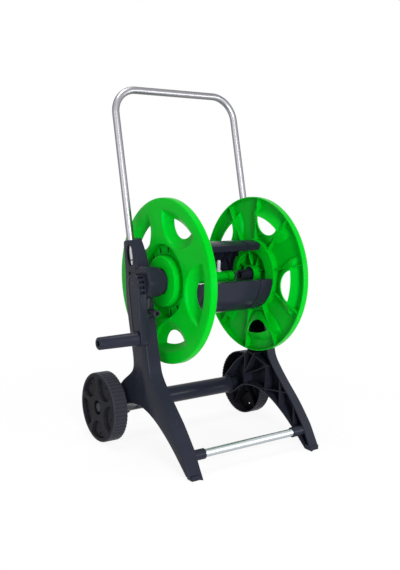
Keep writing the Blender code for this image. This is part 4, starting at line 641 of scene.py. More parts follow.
def skin(bm, first, second):
    """Faces between two closed rows of points, one for each pair."""
    for i in range(len(first)):
        j = (i + 1) % len(first)
        bm.faces.new((first[i], first[j], second[j], second[i]))


def beam(bm, rows):
    """A closed solid through rows of points."""
    for first, second in zip(rows, rows[1:]):
        skin(bm, first, second)
    bm.faces.new(rows[0])
    bm.faces.new(rows[-1])
    bmesh.ops.recalc_face_normals(bm, faces=bm.faces)


def prism(outline, low_x, high_x, turn=Matrix(), name="tool"):
    """An outline of (y, z) points extruded along X, then turned by a matrix."""
    bm = bmesh.new()
    face = bm.faces.new(loop(bm, [(low_x, y, z) for y, z in outline]))
    made = bmesh.ops.extrude_face_region(bm, geom=[face])["geom"]
    moved = [item for item in made if isinstance(item, bmesh.types.BMVert)]
    bmesh.ops.translate(bm, vec=(high_x - low_x, 0, 0), verts=moved)
    bmesh.ops.recalc_face_normals(bm, faces=bm.faces)
    bmesh.ops.transform(bm, matrix=turn, verts=bm.verts)
    return add_mesh(bm, name=name)


def rings(bm, ring, profile):
    """Carries a ring of points on through a profile round the axis and returns the last ring."""
    for x, radius in profile:
        angles = [math.atan2(vert.co.z, -vert.co.y) for vert in ring]
        following = loop(bm, [polar(x, radius, angle) for angle in angles])
        skin(bm, ring, following)
        ring = following
    return ring


def half_moon(centre, radius, limit):
    """A circle cut by the limit circle round the axis: (radius, angle) points, the outer arc first."""
    half = math.acos((limit**2 + centre**2 - radius**2) / (2 * limit * centre))
    points = [(limit, angle) for angle in spread(-half, half, ARC_STEPS)]
    start = math.atan2(limit * math.sin(half), limit * math.cos(half) - centre)
    for turn in spread(start, 2 * math.pi - start, ROUND_STEPS)[1:-1]:
        u, v = centre + radius * math.cos(turn), radius * math.sin(turn)
        points.append((math.hypot(u, v), math.atan2(v, u)))
    return points


def pocketed_face(bm, count, phase, outlines, inner_radius, spoke_steps, inner_steps):
    """A flat ring with pockets that open at its outer circle. The outlines are (centre, radius, limit, x)
    from the face down. It returns the outer circle, each pocket's last outline and the inner circle."""
    limit, face_x = outlines[0][2:]
    half = half_moon(*outlines[0][:3])[ARC_STEPS][1]
    turns = [phase + 2 * math.pi * k / count for k in range(count)]
    pockets, outer, border = [], [], []
    for turn in turns:
        rows = []
        for *circle, x in outlines:
            rows.append(loop(bm, [polar(x, radius, angle + turn) for radius, angle in half_moon(*circle)]))
        for upper, lower in zip(rows, rows[1:]):
            skin(bm, upper, lower)
        pockets.append(rows)
    for turn, (rim, *_) in zip(turns, pockets):
        span = spread(turn + half, turn + 2 * math.pi / count - half, spoke_steps)[1:-1]
        spoke = loop(bm, [polar(face_x, limit, angle) for angle in span])
        outer += rim[: ARC_STEPS + 1] + spoke
        border += [rim[0], *rim[:ARC_STEPS:-1], rim[ARC_STEPS], *spoke]
    inner = loop(bm, [polar(face_x, inner_radius, turn) for turn in full_turn(inner_steps)])
    edges = []
    for ring in (border, inner):
        for ends in zip(ring, ring[1:] + ring[:1]):
            edges.append(bm.edges.get(ends) or bm.edges.new(ends))
    bmesh.ops.triangle_fill(bm, use_beauty=True, use_dissolve=False, edges=edges)
    return outer, [rows[-1] for rows in pockets], inner


def face_outward(bm):
    """Turns all faces so that the widest flat face looks along X."""
    bmesh.ops.recalc_face_normals(bm, faces=bm.faces)
    flat = max(bm.faces, key=lambda face: abs(face.normal.x) * face.calc_area())
    if flat.normal.x < 0:
        bmesh.ops.reverse_faces(bm, faces=bm.faces)


def blade(bm, profile, angle, thickness, side):
    """A thin radial plate with this profile as its outline."""
    across = Vector((0, math.sin(angle), math.cos(angle))) * thickness / 2
    rows = []
    for offset in (-across, across):
        rows.append(loop(bm, [polar(x * side, radius, angle) + offset for x, radius in profile]))
    beam(bm, rows)


def thinned(points, tolerance):
    """The points of a line that it needs to stay within the tolerance of them all."""
    first, last = Vector(points[0]), Vector(points[-1])
    run = (last - first).normalized()
    away = [abs(run.cross(Vector(point) - first)) for point in points]
    far = max(range(len(points)), key=away.__getitem__)
    if away[far] < tolerance:
        return [points[0], points[-1]]
    return thinned(points[: far + 1], tolerance)[:-1] + thinned(points[far:], tolerance)


def sector(bm, x_low, x_high, inner, outer, start, end, steps):
    """A part of a tube round the reel's axis, from one angle to another, solid."""
    corners = ((x_low, inner), (x_high, inner), (x_high, outer), (x_low, outer))
    turns = spread(start, end, steps)
    beam(bm, [loop(bm, [polar(x, radius, turn) for x, radius in corners]) for turn in turns])


def headed_pin(name, face, head, head_radius, end, radius, location=(0, 0, 0)):
    """A screw or pin along X: its head stands on the face, and its shank runs from there to the end."""
    top = face + math.copysign(head, face - end)
    profile = [(top, 0), (top, head_radius), (face, head_radius), (face, radius), (end, radius), (end, 0)]
    finish(turned(profile, SMALL_SIDES, location, name))


def fins(side, surface):
    """Radial fins on the inner side of a flange, which follow its outer surface at mid-wall, and hub ribs."""
    bm = bmesh.new()
    half = FLANGE_WALL / 2
    count = WINDOWS * FINS_PER_WINDOW
    for k in range(count):
        angle = WINDOW_ANGLE + 2 * math.pi * (k + 0.5) / count
        edge = []
        for radius in spread(RECESS_RADIUS + half, FLANGE_RADIUS - half, FIN_SAMPLES):
            hit = surface.ray_cast(polar(FLANGE_X * 2, radius, angle), Vector((-1, 0, 0)))[0]
            edge.append((min(hit.x, FLANGE_X) - half, radius))
        edge = thinned(edge, FIN_TOLERANCE)
        lower = [(min(FLANGE_X - FIN_DEPTH, x - FLANGE_WALL), radius) for x, radius in edge]
        blade(bm, edge + thinned(lower, FIN_TOLERANCE)[::-1], angle, FIN_THICKNESS, side)
    low, high, top = HUB_TUBES[side][0] + half, HUB_RADIUS - half, HUB_X - half
    rib = [(top, low), (top, high), (top - HUB_RIB_DEPTH, high), (top - HUB_RIB_DEPTH, low)]
    for k in range(HUB_RIBS):
        blade(bm, rib, 2 * math.pi * (k + 0.5) / HUB_RIBS, FIN_THICKNESS, side)
    return add_mesh(bm)


def shell_angle(shell):
    return SHELL_ANGLE + 2 * math.pi * shell / SHELLS


def tongue_angles(shell):
    """The angles of one shell's tongues, to one side of its middle, and to the other side on the next."""
    middle = shell_angle(shell) + (TONGUE_SHIFT if shell % 2 else -TONGUE_SHIFT)
    return [middle + (k - (TONGUES - 1) / 2) * TONGUE_PITCH for k in range(TONGUES)]


def tongue_slots(side):
    bm = bmesh.new()
    gap = SEAT_GAP + WALL_DRAFT / 4
    low = (FLOOR_X - 2 * FLANGE_WALL, -TONGUE_OUTER - gap, -TONGUE_WIDTH / 2 - gap)
    high = (FLOOR_X + TONGUE_PAD + FLANGE_WALL, -TONGUE_INNER + gap, TONGUE_WIDTH / 2 + gap)
    for shell in range(SHELLS):
        for angle in tongue_angles(shell):
            add_box(bm, low, high, about_x(-angle))
    return add_mesh(bm, side=side)


def tongue_pads(side):
    """The raised pads on a flange's recess floor that the tongue slots go through."""
    bm = bmesh.new()
    beyond = TONGUE_WIDTH / (TONGUE_INNER + TONGUE_OUTER) + TONGUE_PAD_MARGIN
    span = FLOOR_X - FLANGE_WALL / 2, FLOOR_X + TONGUE_PAD
    reach = HUB_RADIUS + WALL_DRAFT + TONGUE_PAD_EDGE, RECESS_RADIUS - WALL_DRAFT - TONGUE_PAD_EDGE
    for shell in range(SHELLS):
        angles = tongue_angles(shell)
        sector(bm, *span, *reach, angles[0] - beyond, angles[-1] + beyond, SHELL_STEPS // 2)
    return add_mesh(bm, side=side)


def flange(name, side):
    """The reel's side disc: dished hub, seat for the drum, pocketed windows, rim lip, fins and hub ribs."""
    bm = bmesh.new()
    slope = (CREASE_RADIUS - WINDOW_REACH) * POCKET_STEP / WINDOW_DEPTH
    step = POCKET_RADIUS - POCKET_STEP_RUN, CREASE_RADIUS - slope, FLANGE_X - POCKET_STEP
    outlines = (
        (POCKET_CENTRE, POCKET_RADIUS + POCKET_LIP, CREASE_RADIUS + POCKET_LIP, FLANGE_X),
        (POCKET_CENTRE, POCKET_RADIUS, CREASE_RADIUS, FLANGE_X),
        (POCKET_CENTRE, *step),
        (WINDOW_CENTRE, WINDOW_RADIUS, WINDOW_REACH, FLANGE_X - WINDOW_DEPTH),
    )
    outlines = filleted(outlines, FLANGE_ROUND, (1, 3))
    crease, _, recess = pocketed_face(
        bm, WINDOWS, WINDOW_ANGLE, outlines, RECESS_RADIUS, SPOKE_STEPS, FINE_SIDES
    )
    lip = [*quarter(FLANGE_X, FLANGE_RADIUS, LIP_ROUNDING), (FLANGE_X - LIP_DEPTH, FLANGE_RADIUS)]
    rings(bm, crease, lip)
    tube_bore, tube_end = HUB_TUBES[side]
    hub = [
        (FLOOR_X, RECESS_RADIUS - WALL_DRAFT),
        (FLOOR_X, HUB_RADIUS + WALL_DRAFT),
        *quarter(HUB_X, HUB_RADIUS, FLANGE_ROUND)[::-1],
        (HUB_X, tube_bore),
        (tube_end, tube_bore),
    ]
    if side < 0:
        hub.append((tube_end, SPINDLE_RADIUS + SEAT_GAP))
    rings(bm, recess, hub)
    face_outward(bm)
    surface = BVHTree.FromBMesh(bm)
    body = thicken(add_mesh(bm, name=name, side=side), FLANGE_WALL)
    join(body, fins(side, surface), tongue_pads(side))
    finish(cut(body, tongue_slots(side)))


def drum_shell(name, shell):
    """One of the two shells that the hose winds on: curved wall, edge and end walls, X ribs and tongues."""
    inner = DRUM_RADIUS - DRUM_WALL
    low, rib_low, top = DRUM_RADIUS - SHELL_EDGE_DEPTH, inner - LATTICE_DEPTH, inner + RIB_ROOT
    start, end = shell_angle(shell) - SHELL_HALF_SPAN, shell_angle(shell) + SHELL_HALF_SPAN
    edge_turn, notch = LATTICE_THICKNESS / DRUM_RADIUS, SHELL_EDGE_GROOVE / DRUM_RADIUS
    between = start + edge_turn / 2, end - edge_turn / 2
    wall, edges, ends, tongues, grooves, notches = (bmesh.new() for _ in range(6))
    sector(wall, -SHELL_END_X, SHELL_END_X, inner, DRUM_RADIUS, start, end, SHELL_STEPS)
    for edge_start in (start, end - edge_turn):
        sector(edges, -SHELL_END_X, SHELL_END_X, low, top, edge_start, edge_start + edge_turn, 1)
    for side in (-1, 1):
        span = sorted((side * SHELL_END_X, side * (SHELL_END_X - LATTICE_THICKNESS)))
        sector(ends, *span, TONGUE_OUTER - TONGUE_ROOT, top, *between, SHELL_STEPS // 2)
        band = side * (SHELL_END_X - SHELL_END_BAND)
        span = sorted((band, band - side * SHELL_GROOVE_WIDTH))
        depth = DRUM_RADIUS - SHELL_GROOVE, DRUM_RADIUS + SHELL_GROOVE
        sector(grooves, *span, *depth, start - edge_turn, end + edge_turn, SHELL_STEPS)
        for at in (start - edge_turn, end - notch):
            sector(notches, *span, low - SHELL_GROOVE, DRUM_RADIUS, at, at + edge_turn + notch, 1)
        near, far = sorted((side * (SHELL_END_X - LATTICE_THICKNESS / 2), side * (FLOOR_X + TONGUE_REACH)))
        corners = (near, -TONGUE_OUTER, -TONGUE_WIDTH / 2), (far, -TONGUE_INNER, TONGUE_WIDTH / 2)
        for angle in tongue_angles(shell):
            add_box(tongues, *corners, about_x(-angle))
    ribs = lattice(*between, rib_low, top, -1), lattice(*between, rib_low - RIB_OFFSET, top, 1)
    body = add_mesh(wall, name=name)
    join(body, *(add_mesh(bm) for bm in (edges, ends, *ribs, tongues)))
    finish(cut(body, add_mesh(grooves), add_mesh(notches)))


def lattice(start, end, low, top, direction):
    """The slanting ribs on the inner side of a shell that rise one way."""
    bm = bmesh.new()
    long_step = 2 * SHELL_END_X / LATTICE_CELLS_LONG
    round_step = (end - start) / LATTICE_CELLS_ROUND
    for column in range(-LATTICE_CELLS_ROUND + 1, LATTICE_CELLS_LONG):
        cells = [k for k in range(LATTICE_CELLS_ROUND) if 0 <= column + k < LATTICE_CELLS_LONG]
        points = []
        for along in spread(cells[0], cells[-1] + 1, LATTICE_STEPS * len(cells)):
            x = -SHELL_END_X + (column + along) * long_step
            points.append((direction * x, start + along * round_step))
        strip(bm, points, low, top)
    return bm


def strip(bm, points, low, high):
    """A thin rib that runs over (x, angle) points."""
    (x_first, turn_first), (x_last, turn_last) = points[0], points[-1]
    run, rise = x_last - x_first, (turn_last - turn_first) * DRUM_RADIUS
    half = LATTICE_THICKNESS / 2 / math.hypot(run, rise)
    shift_x, shift_turn = -rise * half, run * half / DRUM_RADIUS
    limit = SHELL_END_X - LATTICE_THICKNESS / 4
    rows = []
    for x, turn in points:
        corners = []
        for sign, radius in ((-1, low), (1, low), (1, high), (-1, high)):
            at_x = max(-limit, min(limit, x + sign * shift_x))
            corners.append(polar(at_x, radius, turn + sign * shift_turn))
        rows.append(loop(bm, corners))
    beam(bm, rows)


def spindle():
    """The hollow shaft that the crank turns. Water enters it in the left boss and leaves it in the drum."""
    collar_x = -HUB_TUBE_END_X + FLANGE_WALL + SEAT_GAP
    waist_end = SPINDLE_WAIST_X + SPINDLE_WAIST_LENGTH
    seat, bottom = SPINDLE_RADIUS - SEAL_GROOVE, -INLET_X - SPINDLE_BORE / 2
    profile = [(-CRANK_INNER_X, 0), (-CRANK_INNER_X, SPINDLE_RADIUS)]
    for seal_x in (-INLET_X - SEAL_SPREAD, -INLET_X + SEAL_SPREAD):
        low, high = seal_x - SEAL_GROOVE, seal_x + SEAL_GROOVE
        profile += [(low, SPINDLE_RADIUS), (low, seat), (high, seat), (high, SPINDLE_RADIUS)]
    profile += [
        (collar_x, SPINDLE_RADIUS), (collar_x, SPINDLE_COLLAR_RADIUS),
        (collar_x + SPINDLE_COLLAR, SPINDLE_COLLAR_RADIUS), (collar_x + SPINDLE_COLLAR, SPINDLE_NECK_RADIUS),
        (SPINDLE_WAIST_X, SPINDLE_NECK_RADIUS), (SPINDLE_WAIST_X, SPINDLE_WAIST_RADIUS),
        (waist_end, SPINDLE_WAIST_RADIUS), (waist_end, SPINDLE_NECK_RADIUS),
        (SPINDLE_END_X, SPINDLE_NECK_RADIUS), (SPINDLE_END_X, SPINDLE_BORE),
        (bottom, SPINDLE_BORE), (bottom, 0),
    ]
    body = turned(profile, PLAIN_SIDES, name="water_spindle")
    reach, screw_end = SPINDLE_RADIUS * 2, -CRANK_INNER_X + CRANK_SCREW_REACH + SEAT_GAP
    holes = (
        hole((-INLET_X, -reach, 0), (-INLET_X, reach, 0), SPINDLE_BORE / 2),
        hole((OUTLET_X, 0, 0), (OUTLET_X, 0, reach), OUTLET_RADIUS + SEAT_GAP),
        x_hole(REEL_AXIS, -CRANK_X, screw_end, CRANK_SCREW_RADIUS + SEAT_GAP),
    )
    finish(cut(body, *holes))


def hose_outlet():
    """The hose connector that stands on the spindle inside the drum: a ribbed nipple on a threaded foot."""
    foot, seat = SPINDLE_BORE + SEAT_GAP, SPINDLE_NECK_RADIUS + SEAT_GAP
    top, bead = SPINDLE_NECK_RADIUS + OUTLET_FLANGE_TOP, OUTLET_REACH - OUTLET_BEAD
    bore, rim = OUTLET_RADIUS - OUTLET_WALL, OUTLET_RADIUS + OUTLET_FLANGE
    profile = [
        (foot, bore), (foot, OUTLET_RADIUS), (seat, OUTLET_RADIUS), (seat, rim), (top, rim),
        (top, OUTLET_RADIUS), (bead, OUTLET_RADIUS), (bead, OUTLET_RADIUS + OUTLET_BEAD_HEIGHT),
        (OUTLET_REACH, OUTLET_RADIUS - OUTLET_DRAFT), (OUTLET_REACH, bore),
    ]
    body = turned(profile, SMALL_SIDES, (OUTLET_X, 0, 0), "hose_outlet")
    body.rotation_euler = (0, -math.pi / 2, 0)
    finish(body)


def arm_outline(inset):
    """The arm seen from the side: two arcs of unlike radius and their tangents, as (y, z) about the pivot."""
    slant = math.asin((CRANK_PIVOT_RADIUS - CRANK_TIP_RADIUS) / CRANK_RADIUS)
    top = arc((0, 0), CRANK_PIVOT_RADIUS - inset, -slant, math.pi + slant, ARM_STEPS)
    tip = (0, -CRANK_RADIUS), CRANK_TIP_RADIUS - inset
    return top + arc(*tip, math.pi + slant, 2 * math.pi - slant, ARM_STEPS)


def crank_arm():
    """The arm with a raised rim round its outer panel, and slots in its front edge round the pivot."""
    lean = about_x(-CRANK_LEAN)
    body = prism(arm_outline(0), -CRANK_X, -CRANK_INNER_X - SEAT_GAP, lean, "crank_arm")
    edge = body.modifiers.new("edge", "BEVEL")
    edge.width = CRANK_PANEL_RIM / 3
    edge.segments = 2
    edge.limit_method = "ANGLE"
    edge.angle_limit = CRANK_EDGE_ANGLE
    depth = -CRANK_X - CRANK_PANEL_DEPTH, -CRANK_X + CRANK_PANEL_DEPTH
    panel = prism(arm_outline(CRANK_PANEL_RIM), *depth, lean)
    slots = bmesh.new()
    middle_x = -(CRANK_X + CRANK_INNER_X) / 2
    half = (CRANK_X - CRANK_INNER_X) / 2 - CRANK_SLOT_MARGIN
    for k in range(CRANK_SLOTS):
        along = CRANK_SLOT_START - k * CRANK_SLOT_PITCH
        z = min(along, 0)
        low = (middle_x - half, -CRANK_PIVOT_RADIUS - CRANK_SLOT_DEPTH, z - CRANK_SLOT_HEIGHT / 2)
        high = (middle_x + half, -CRANK_PIVOT_RADIUS + CRANK_SLOT_DEPTH, z + CRANK_SLOT_HEIGHT / 2)
        add_box(slots, low, high, lean @ about_x(-(along - z) / CRANK_PIVOT_RADIUS))
    slots = add_mesh(slots)
    outside, head_seat = -CRANK_X - PIN_DEPTH, -CRANK_X + CRANK_PANEL_DEPTH + SCREW_HEAD
    holes = (
        x_hole(GRIP_AXIS, outside, -CRANK_X + PIN_DEPTH, PIN_RADIUS + SEAT_GAP),
        x_hole(REEL_AXIS, outside, -CRANK_INNER_X + SEAT_GAP, CRANK_SCREW_RADIUS + SEAT_GAP),
        x_hole(REEL_AXIS, outside, head_seat, CRANK_SCREW_HEAD + SEAT_GAP),
    )
    finish(cut(body, panel, slots, *holes))


def crank_screw():
    face = -CRANK_X + CRANK_PANEL_DEPTH + SCREW_HEAD - SEAT_GAP
    end = -CRANK_INNER_X + CRANK_SCREW_REACH
    headed_pin("crank_screw", face, SCREW_HEAD, CRANK_SCREW_HEAD, end, CRANK_SCREW_RADIUS)


def crank_grip():
    """The hollow tapered grip that turns on its pin, with a collar at the arm."""
    end, collar = -GRIP_X - GRIP_LENGTH, -GRIP_X - GRIP_COLLAR
    mouth, bore = end + GRIP_MOUTH_DEPTH, PIN_RADIUS + SEAT_GAP
    profile = [
        (-GRIP_X, bore), (mouth, bore), (mouth, GRIP_MOUTH_RADIUS), (end + GRIP_EDGE, GRIP_MOUTH_RADIUS),
        (end, GRIP_MOUTH_RADIUS + GRIP_EDGE),
        *[(2 * end - x, radius) for x, radius in quarter(end, GRIP_END_RADIUS, GRIP_ROUNDING)],
        (collar - GRIP_COLLAR_FADE, GRIP_RADIUS), (collar, GRIP_COLLAR_RADIUS),
        (-GRIP_X - GRIP_EDGE, GRIP_COLLAR_RADIUS), (-GRIP_X, GRIP_COLLAR_RADIUS - GRIP_EDGE),
    ]
    finish(turned(profile, PLAIN_SIDES, GRIP_AXIS, "crank_grip"))
    pin_end = -CRANK_X + PIN_DEPTH - SEAT_GAP
    headed_pin("grip_pin", mouth - SEAT_GAP, PIN_HEAD, PIN_HEAD_RADIUS, pin_end, PIN_RADIUS, GRIP_AXIS)


def smooth(points):
    """A curve through points, straight at its two ends."""
    points = [Vector((y, z, 0)) for y, z in points]
    made = []
    for i in range(len(points) - 1):
        first, second = points[i], points[i + 1]
        before = points[i - 1] if i else first - (second - first)
        after = points[i + 2] if i + 2 < len(points) else second + (second - first)
        reach = (second - first).length / 3
        out = first + reach * (second - before).normalized()
        back = second - reach * (after - first).normalized()
        made += interpolate_bezier(first, out, back, second, CURVE_STEPS + 1)[:-1]
    made.append(points[-1])
    return [(point.x, point.y) for point in made]


def from_ground(points):
    """Points of (y, height above the ground) as (y, z)."""
    return tuple((y, height - REEL_HEIGHT) for y, height in points)


def leg_outline():
    """The open rim of a side frame, seen along X: front edge, sole, arch, axle lobe, rear edge and top."""
    sole_front, sole_rear = from_ground(((SOLE_FRONT_Y, 0), (SOLE_REAR_Y, 0)))
    front = smooth(LEG_FRONT + from_ground(TOE_FRONT)) + [sole_front]
    arch = smooth((sole_rear, *from_ground(TOE_ARCH)))
    lobe = arc((AXLE_Y, AXLE_Z), LOBE_RADIUS, LOBE_START, LOBE_START + LOBE_SPAN, LOBE_STEPS)
    back = smooth(from_ground(HEEL_REAR) + LEG_REAR)
    rear_y, shoulder = LEG_REAR[-1]
    corner = LEG_FRONT[0][1] - shoulder
    rounding = arc((rear_y - corner, shoulder), corner, 0, math.pi / 2, CORNER_STEPS)[1:]
    return front + arch + lobe + back + rounding


def handle_point(x, reach):
    """The point on the handle's leaning plane at this distance along the lean from axis height."""
    return Vector((x, HANDLE_Y + reach * math.sin(HANDLE_LEAN), reach * math.cos(HANDLE_LEAN)))


def leg_ribs():
    """Ends of the ribs inside a side frame: a zigzag between its edges, cross ribs in the toe, and the rib
    that the handle tube stands on."""
    seat = handle_point(0, HANDLE_FOOT - SEAT_GAP - LEG_RIB / 2)
    across = Vector((0, math.cos(HANDLE_LEAN), -math.sin(HANDLE_LEAN))) * HANDLE_SEAT_REACH
    ends = tuple(((seat + way * across).y, (seat + way * across).z) for way in (-1, 1))
    return [*LEG_RIBS, *(from_ground(rib) for rib in TOE_RIBS), ends]


def drafted_prism(outline, stations):
    """An outline of (y, z) points drawn along X through (x, inset) stations, open at its near end."""
    bm = bmesh.new()
    at_x, at_inset = stations[0]
    face = bm.faces.new(loop(bm, [(at_x, y, z) for y, z in outline]))
    bm.normal_update()
    if face.normal.x < 0:
        face.normal_flip()
        bm.normal_update()
    even = {"faces": [face], "use_even_offset": True, "use_boundary": True}
    if at_inset:
        around = bmesh.ops.inset_region(bm, thickness=at_inset, **even)["faces"]
        bmesh.ops.delete(bm, geom=around, context="FACES")
    for x, inset in stations[1:]:
        bmesh.ops.inset_region(bm, thickness=inset - at_inset, depth=x - at_x, **even)
        at_x, at_inset = x, inset
    return bm


def leg_core(side, outline):
    """The space inside a side frame, out to the middle of its walls."""
    low, high = LEG_INNER_X + LEG_RIB_SETBACK, LEG_OUTER_X - LEG_WALL / 2
    slope = LEG_DRAFT / (LEG_OUTER_X - LEG_INNER_X)
    bm = drafted_prism(outline, [(x, LEG_WALL / 2 + slope * (x - LEG_INNER_X)) for x in (low, high)])
    rim = [edge for edge in bm.edges if len(edge.link_faces) == 1]
    bmesh.ops.contextual_create(bm, geom=rim)
    bmesh.ops.recalc_face_normals(bm, faces=bm.faces)
    return add_mesh(bm, side=side)


def rib_lattice(side, outline):
    """The side frame's inner ribs, trimmed to its walls."""
    bm = bmesh.new()
    low, high = LEG_INNER_X - LEG_WALL, LEG_OUTER_X + LEG_WALL
    for start, end in leg_ribs():
        start, end = Vector(start), Vector(end)
        turn = about_x(math.atan2(end.y - start.y, end.x - start.x))
        half = (end - start).length / 2
        place = Matrix.Translation((0, *((start + end) / 2))) @ turn
        add_box(bm, (low, -half, -LEG_RIB / 2), (high, half, LEG_RIB / 2), place)
    ribs = boolean(add_mesh(bm, side=side), "INTERSECT", leg_core(side, outline))
    ribs.modifiers[-1].use_self = True
    return ribs


def boss_room(side):
    """The room that a boss takes out of the shell and its ribs, out to the middle of the boss's wall."""
    near, far, radius = LEG_INNER_X - LEG_WALL, BOSS_OUTER_X - BOSS_WALL / 2, BOSS_RADIUS - BOSS_WALL / 2
    profile = [(near, 0), (near, radius - BOSS_TAPER), (far, radius), (far, 0)]
    return turned(profile, FINE_SIDES, side=side)


def journal_splits():
    """Cutters that split the far journal's end into four fingers."""
    reach = FAR_JOURNAL_RADIUS + BOSS_WALL
    low = (FAR_JOURNAL_END_X - JOURNAL_SPLIT_DEPTH, -reach, -JOURNAL_SPLIT / 2)
    high = (FAR_JOURNAL_END_X + JOURNAL_SPLIT_DEPTH, reach, JOURNAL_SPLIT / 2)
    for turn in (math.pi / 4, -math.pi / 4):
        bm = bmesh.new()
        add_box(bm, low, high, about_x(turn))
        yield add_mesh(bm)


def reel_boss(side):
    """The round cup on a side frame with the journal that carries the reel. The left journal lets the
    spindle through and holds its water chamber, and the right one is a pin that is closed outside."""
    radius, end = JOURNALS[side]
    floor_x, bore = BOSS_OUTER_X - BOSS_WALL, radius - BOSS_WALL
    rim = (BOSS_OUTER_X, BOSS_RADIUS - BOSS_EDGE)
    profile = [
        (BOSS_OUTER_X - BOSS_EDGE, BOSS_RADIUS), (BOSS_INNER_X, BOSS_RADIUS - BOSS_TAPER),
        (BOSS_INNER_X, BOSS_RADIUS - BOSS_TAPER - BOSS_WALL), (floor_x, BOSS_RADIUS - BOSS_WALL),
        (floor_x, radius), (end, radius), (end, bore),
    ]
    if side < 0:
        chamber = INLET_X - CHAMBER_HALF_LENGTH
        profile += [(chamber, bore), (chamber, JOURNAL_BORE), (BOSS_OUTER_X, JOURNAL_BORE), rim]
    else:
        profile = [(BOSS_OUTER_X, 0), rim, *profile, (floor_x, bore), (floor_x, 0)]
    return turned(profile, FINE_SIDES, side=side)


def axle_boss(side):
    """The cup that holds the crossbar's end, and the tube that holds the axle out to the wheel."""
    end, step = LEG_INNER_X - SPIGOT_LENGTH, LEG_INNER_X + LEG_WALL
    back, wheel_face = LEG_OUTER_X - LEG_WALL / 2, WHEEL_INNER_X - RUNNING_GAP
    spigot, bore = CROSSBAR_RADIUS - CROSSBAR_WALL - SEAT_GAP, AXLE_RADIUS + SEAT_GAP
    cup, tube = spigot - SPIGOT_WALL, bore + SPIGOT_WALL
    profile = [
        (end, cup), (end, spigot), (LEG_INNER_X, spigot), (LEG_INNER_X, LOBE_RADIUS - LEG_WALL / 2),
        (step, LOBE_RADIUS - LEG_WALL), (step, spigot), (back, spigot), (back, AXLE_BOSS_RADIUS),
        (wheel_face, AXLE_BOSS_RADIUS - WALL_DRAFT), (wheel_face, bore), (end, bore), (end, tube),
        (back - LEG_WALL, tube), (back - LEG_WALL, cup),
    ]
    return turned(profile, PLAIN_SIDES, WHEEL_AXIS, side=side)


def rod_socket(side):
    """The seat of the foot rod's end, with a screw hole through its bottom."""
    back, bore, screw = LEG_OUTER_X - LEG_WALL / 2, ROD_RADIUS + SEAT_GAP, SCREW_RADIUS + SEAT_GAP
    profile = [
        (ROD_SOCKET_X, bore), (ROD_SOCKET_X, ROD_SOCKET_RADIUS), (LEG_INNER_X, ROD_SOCKET_RADIUS),
        (back, ROD_SOCKET_RADIUS - LEG_DRAFT), (back, screw), (LEG_INNER_X, screw), (LEG_INNER_X, bore),
    ]
    return turned(profile, PLAIN_SIDES, ROD_AXIS, side=side)


def sole(side):
    """The flat pad under the toe that stands on the ground."""
    bm = bmesh.new()
    low = (LEG_INNER_X, SOLE_FRONT_Y + LEG_DRAFT, -REEL_HEIGHT)
    add_box(bm, low, (LEG_OUTER_X - LEG_DRAFT, SOLE_REAR_Y, 2 * LEG_DRAFT - REEL_HEIGHT))
    return add_mesh(bm, side=side)


def eye_outline():
    """The leaning oval window beside the handle tube, as (y, z) points."""
    made = []
    for turn in full_turn(PLAIN_SIDES):
        across, along = EYE_HALF_WIDTH * math.cos(turn), EYE_HALF_HEIGHT * math.sin(turn)
        y = across * math.cos(HANDLE_LEAN) + along * math.sin(HANDLE_LEAN)
        z = along * math.cos(HANDLE_LEAN) - across * math.sin(HANDLE_LEAN)
        made.append((EYE_CENTRE[0] + y, EYE_CENTRE[1] + z))
    return made


def frame_holes(side):
    """Cutters for the rod screw, handle, handle screw, eye window and, on the left, the water inlet."""
    near, far = side * (LEG_INNER_X - 2 * SPIGOT_LENGTH), side * (LEG_OUTER_X + SPIGOT_LENGTH)
    seat, plug = side * (LEG_OUTER_X - SCREW_HEAD - SEAT_GAP), side * (LEG_INNER_X - ROD_PLUG)
    reaches = HANDLE_FOOT - SEAT_GAP, LEG_FRONT[0][1] + HANDLE_SEAT_REACH
    tube = [handle_point(side * HANDLE_X, reach) for reach in reaches]
    window = sorted((side * (LEG_OUTER_X - 2 * LEG_WALL), side * (LEG_OUTER_X + LEG_WALL)))
    made = [
        x_hole(ROD_AXIS, plug, far, SCREW_RADIUS + SEAT_GAP),
        x_hole(ROD_AXIS, seat, far, SCREW_HEAD_RADIUS + SEAT_GAP),
        hole(*tube, HANDLE_RADIUS + SEAT_GAP, PLAIN_SIDES),
        x_hole(HANDLE_SCREW_AXIS, near, far, SCREW_RADIUS + SEAT_GAP),
        prism(eye_outline(), *window),
    ]
    if side < 0:
        ends = INLET_NIPPLE_END_Y, INLET_Y + INLET_BODY_RADIUS
        mouth, back = (Vector((-INLET_X, y, INLET_Z)) for y in ends)
        heights = INLET_Z, INLET_TOP_Z + SEAT_GAP, INLET_TOP_Z - SEAT_GAP, 0
        bottom, top, port, middle = (Vector((-INLET_X, INLET_Y, z)) for z in heights)
        made += [
            hole(mouth, back, INLET_BODY_RADIUS + SEAT_GAP, PLAIN_SIDES),
            hole(bottom, top, INLET_RISER_RADIUS + SEAT_GAP),
            hole(port, middle, INLET_BORE),
        ]
    return made


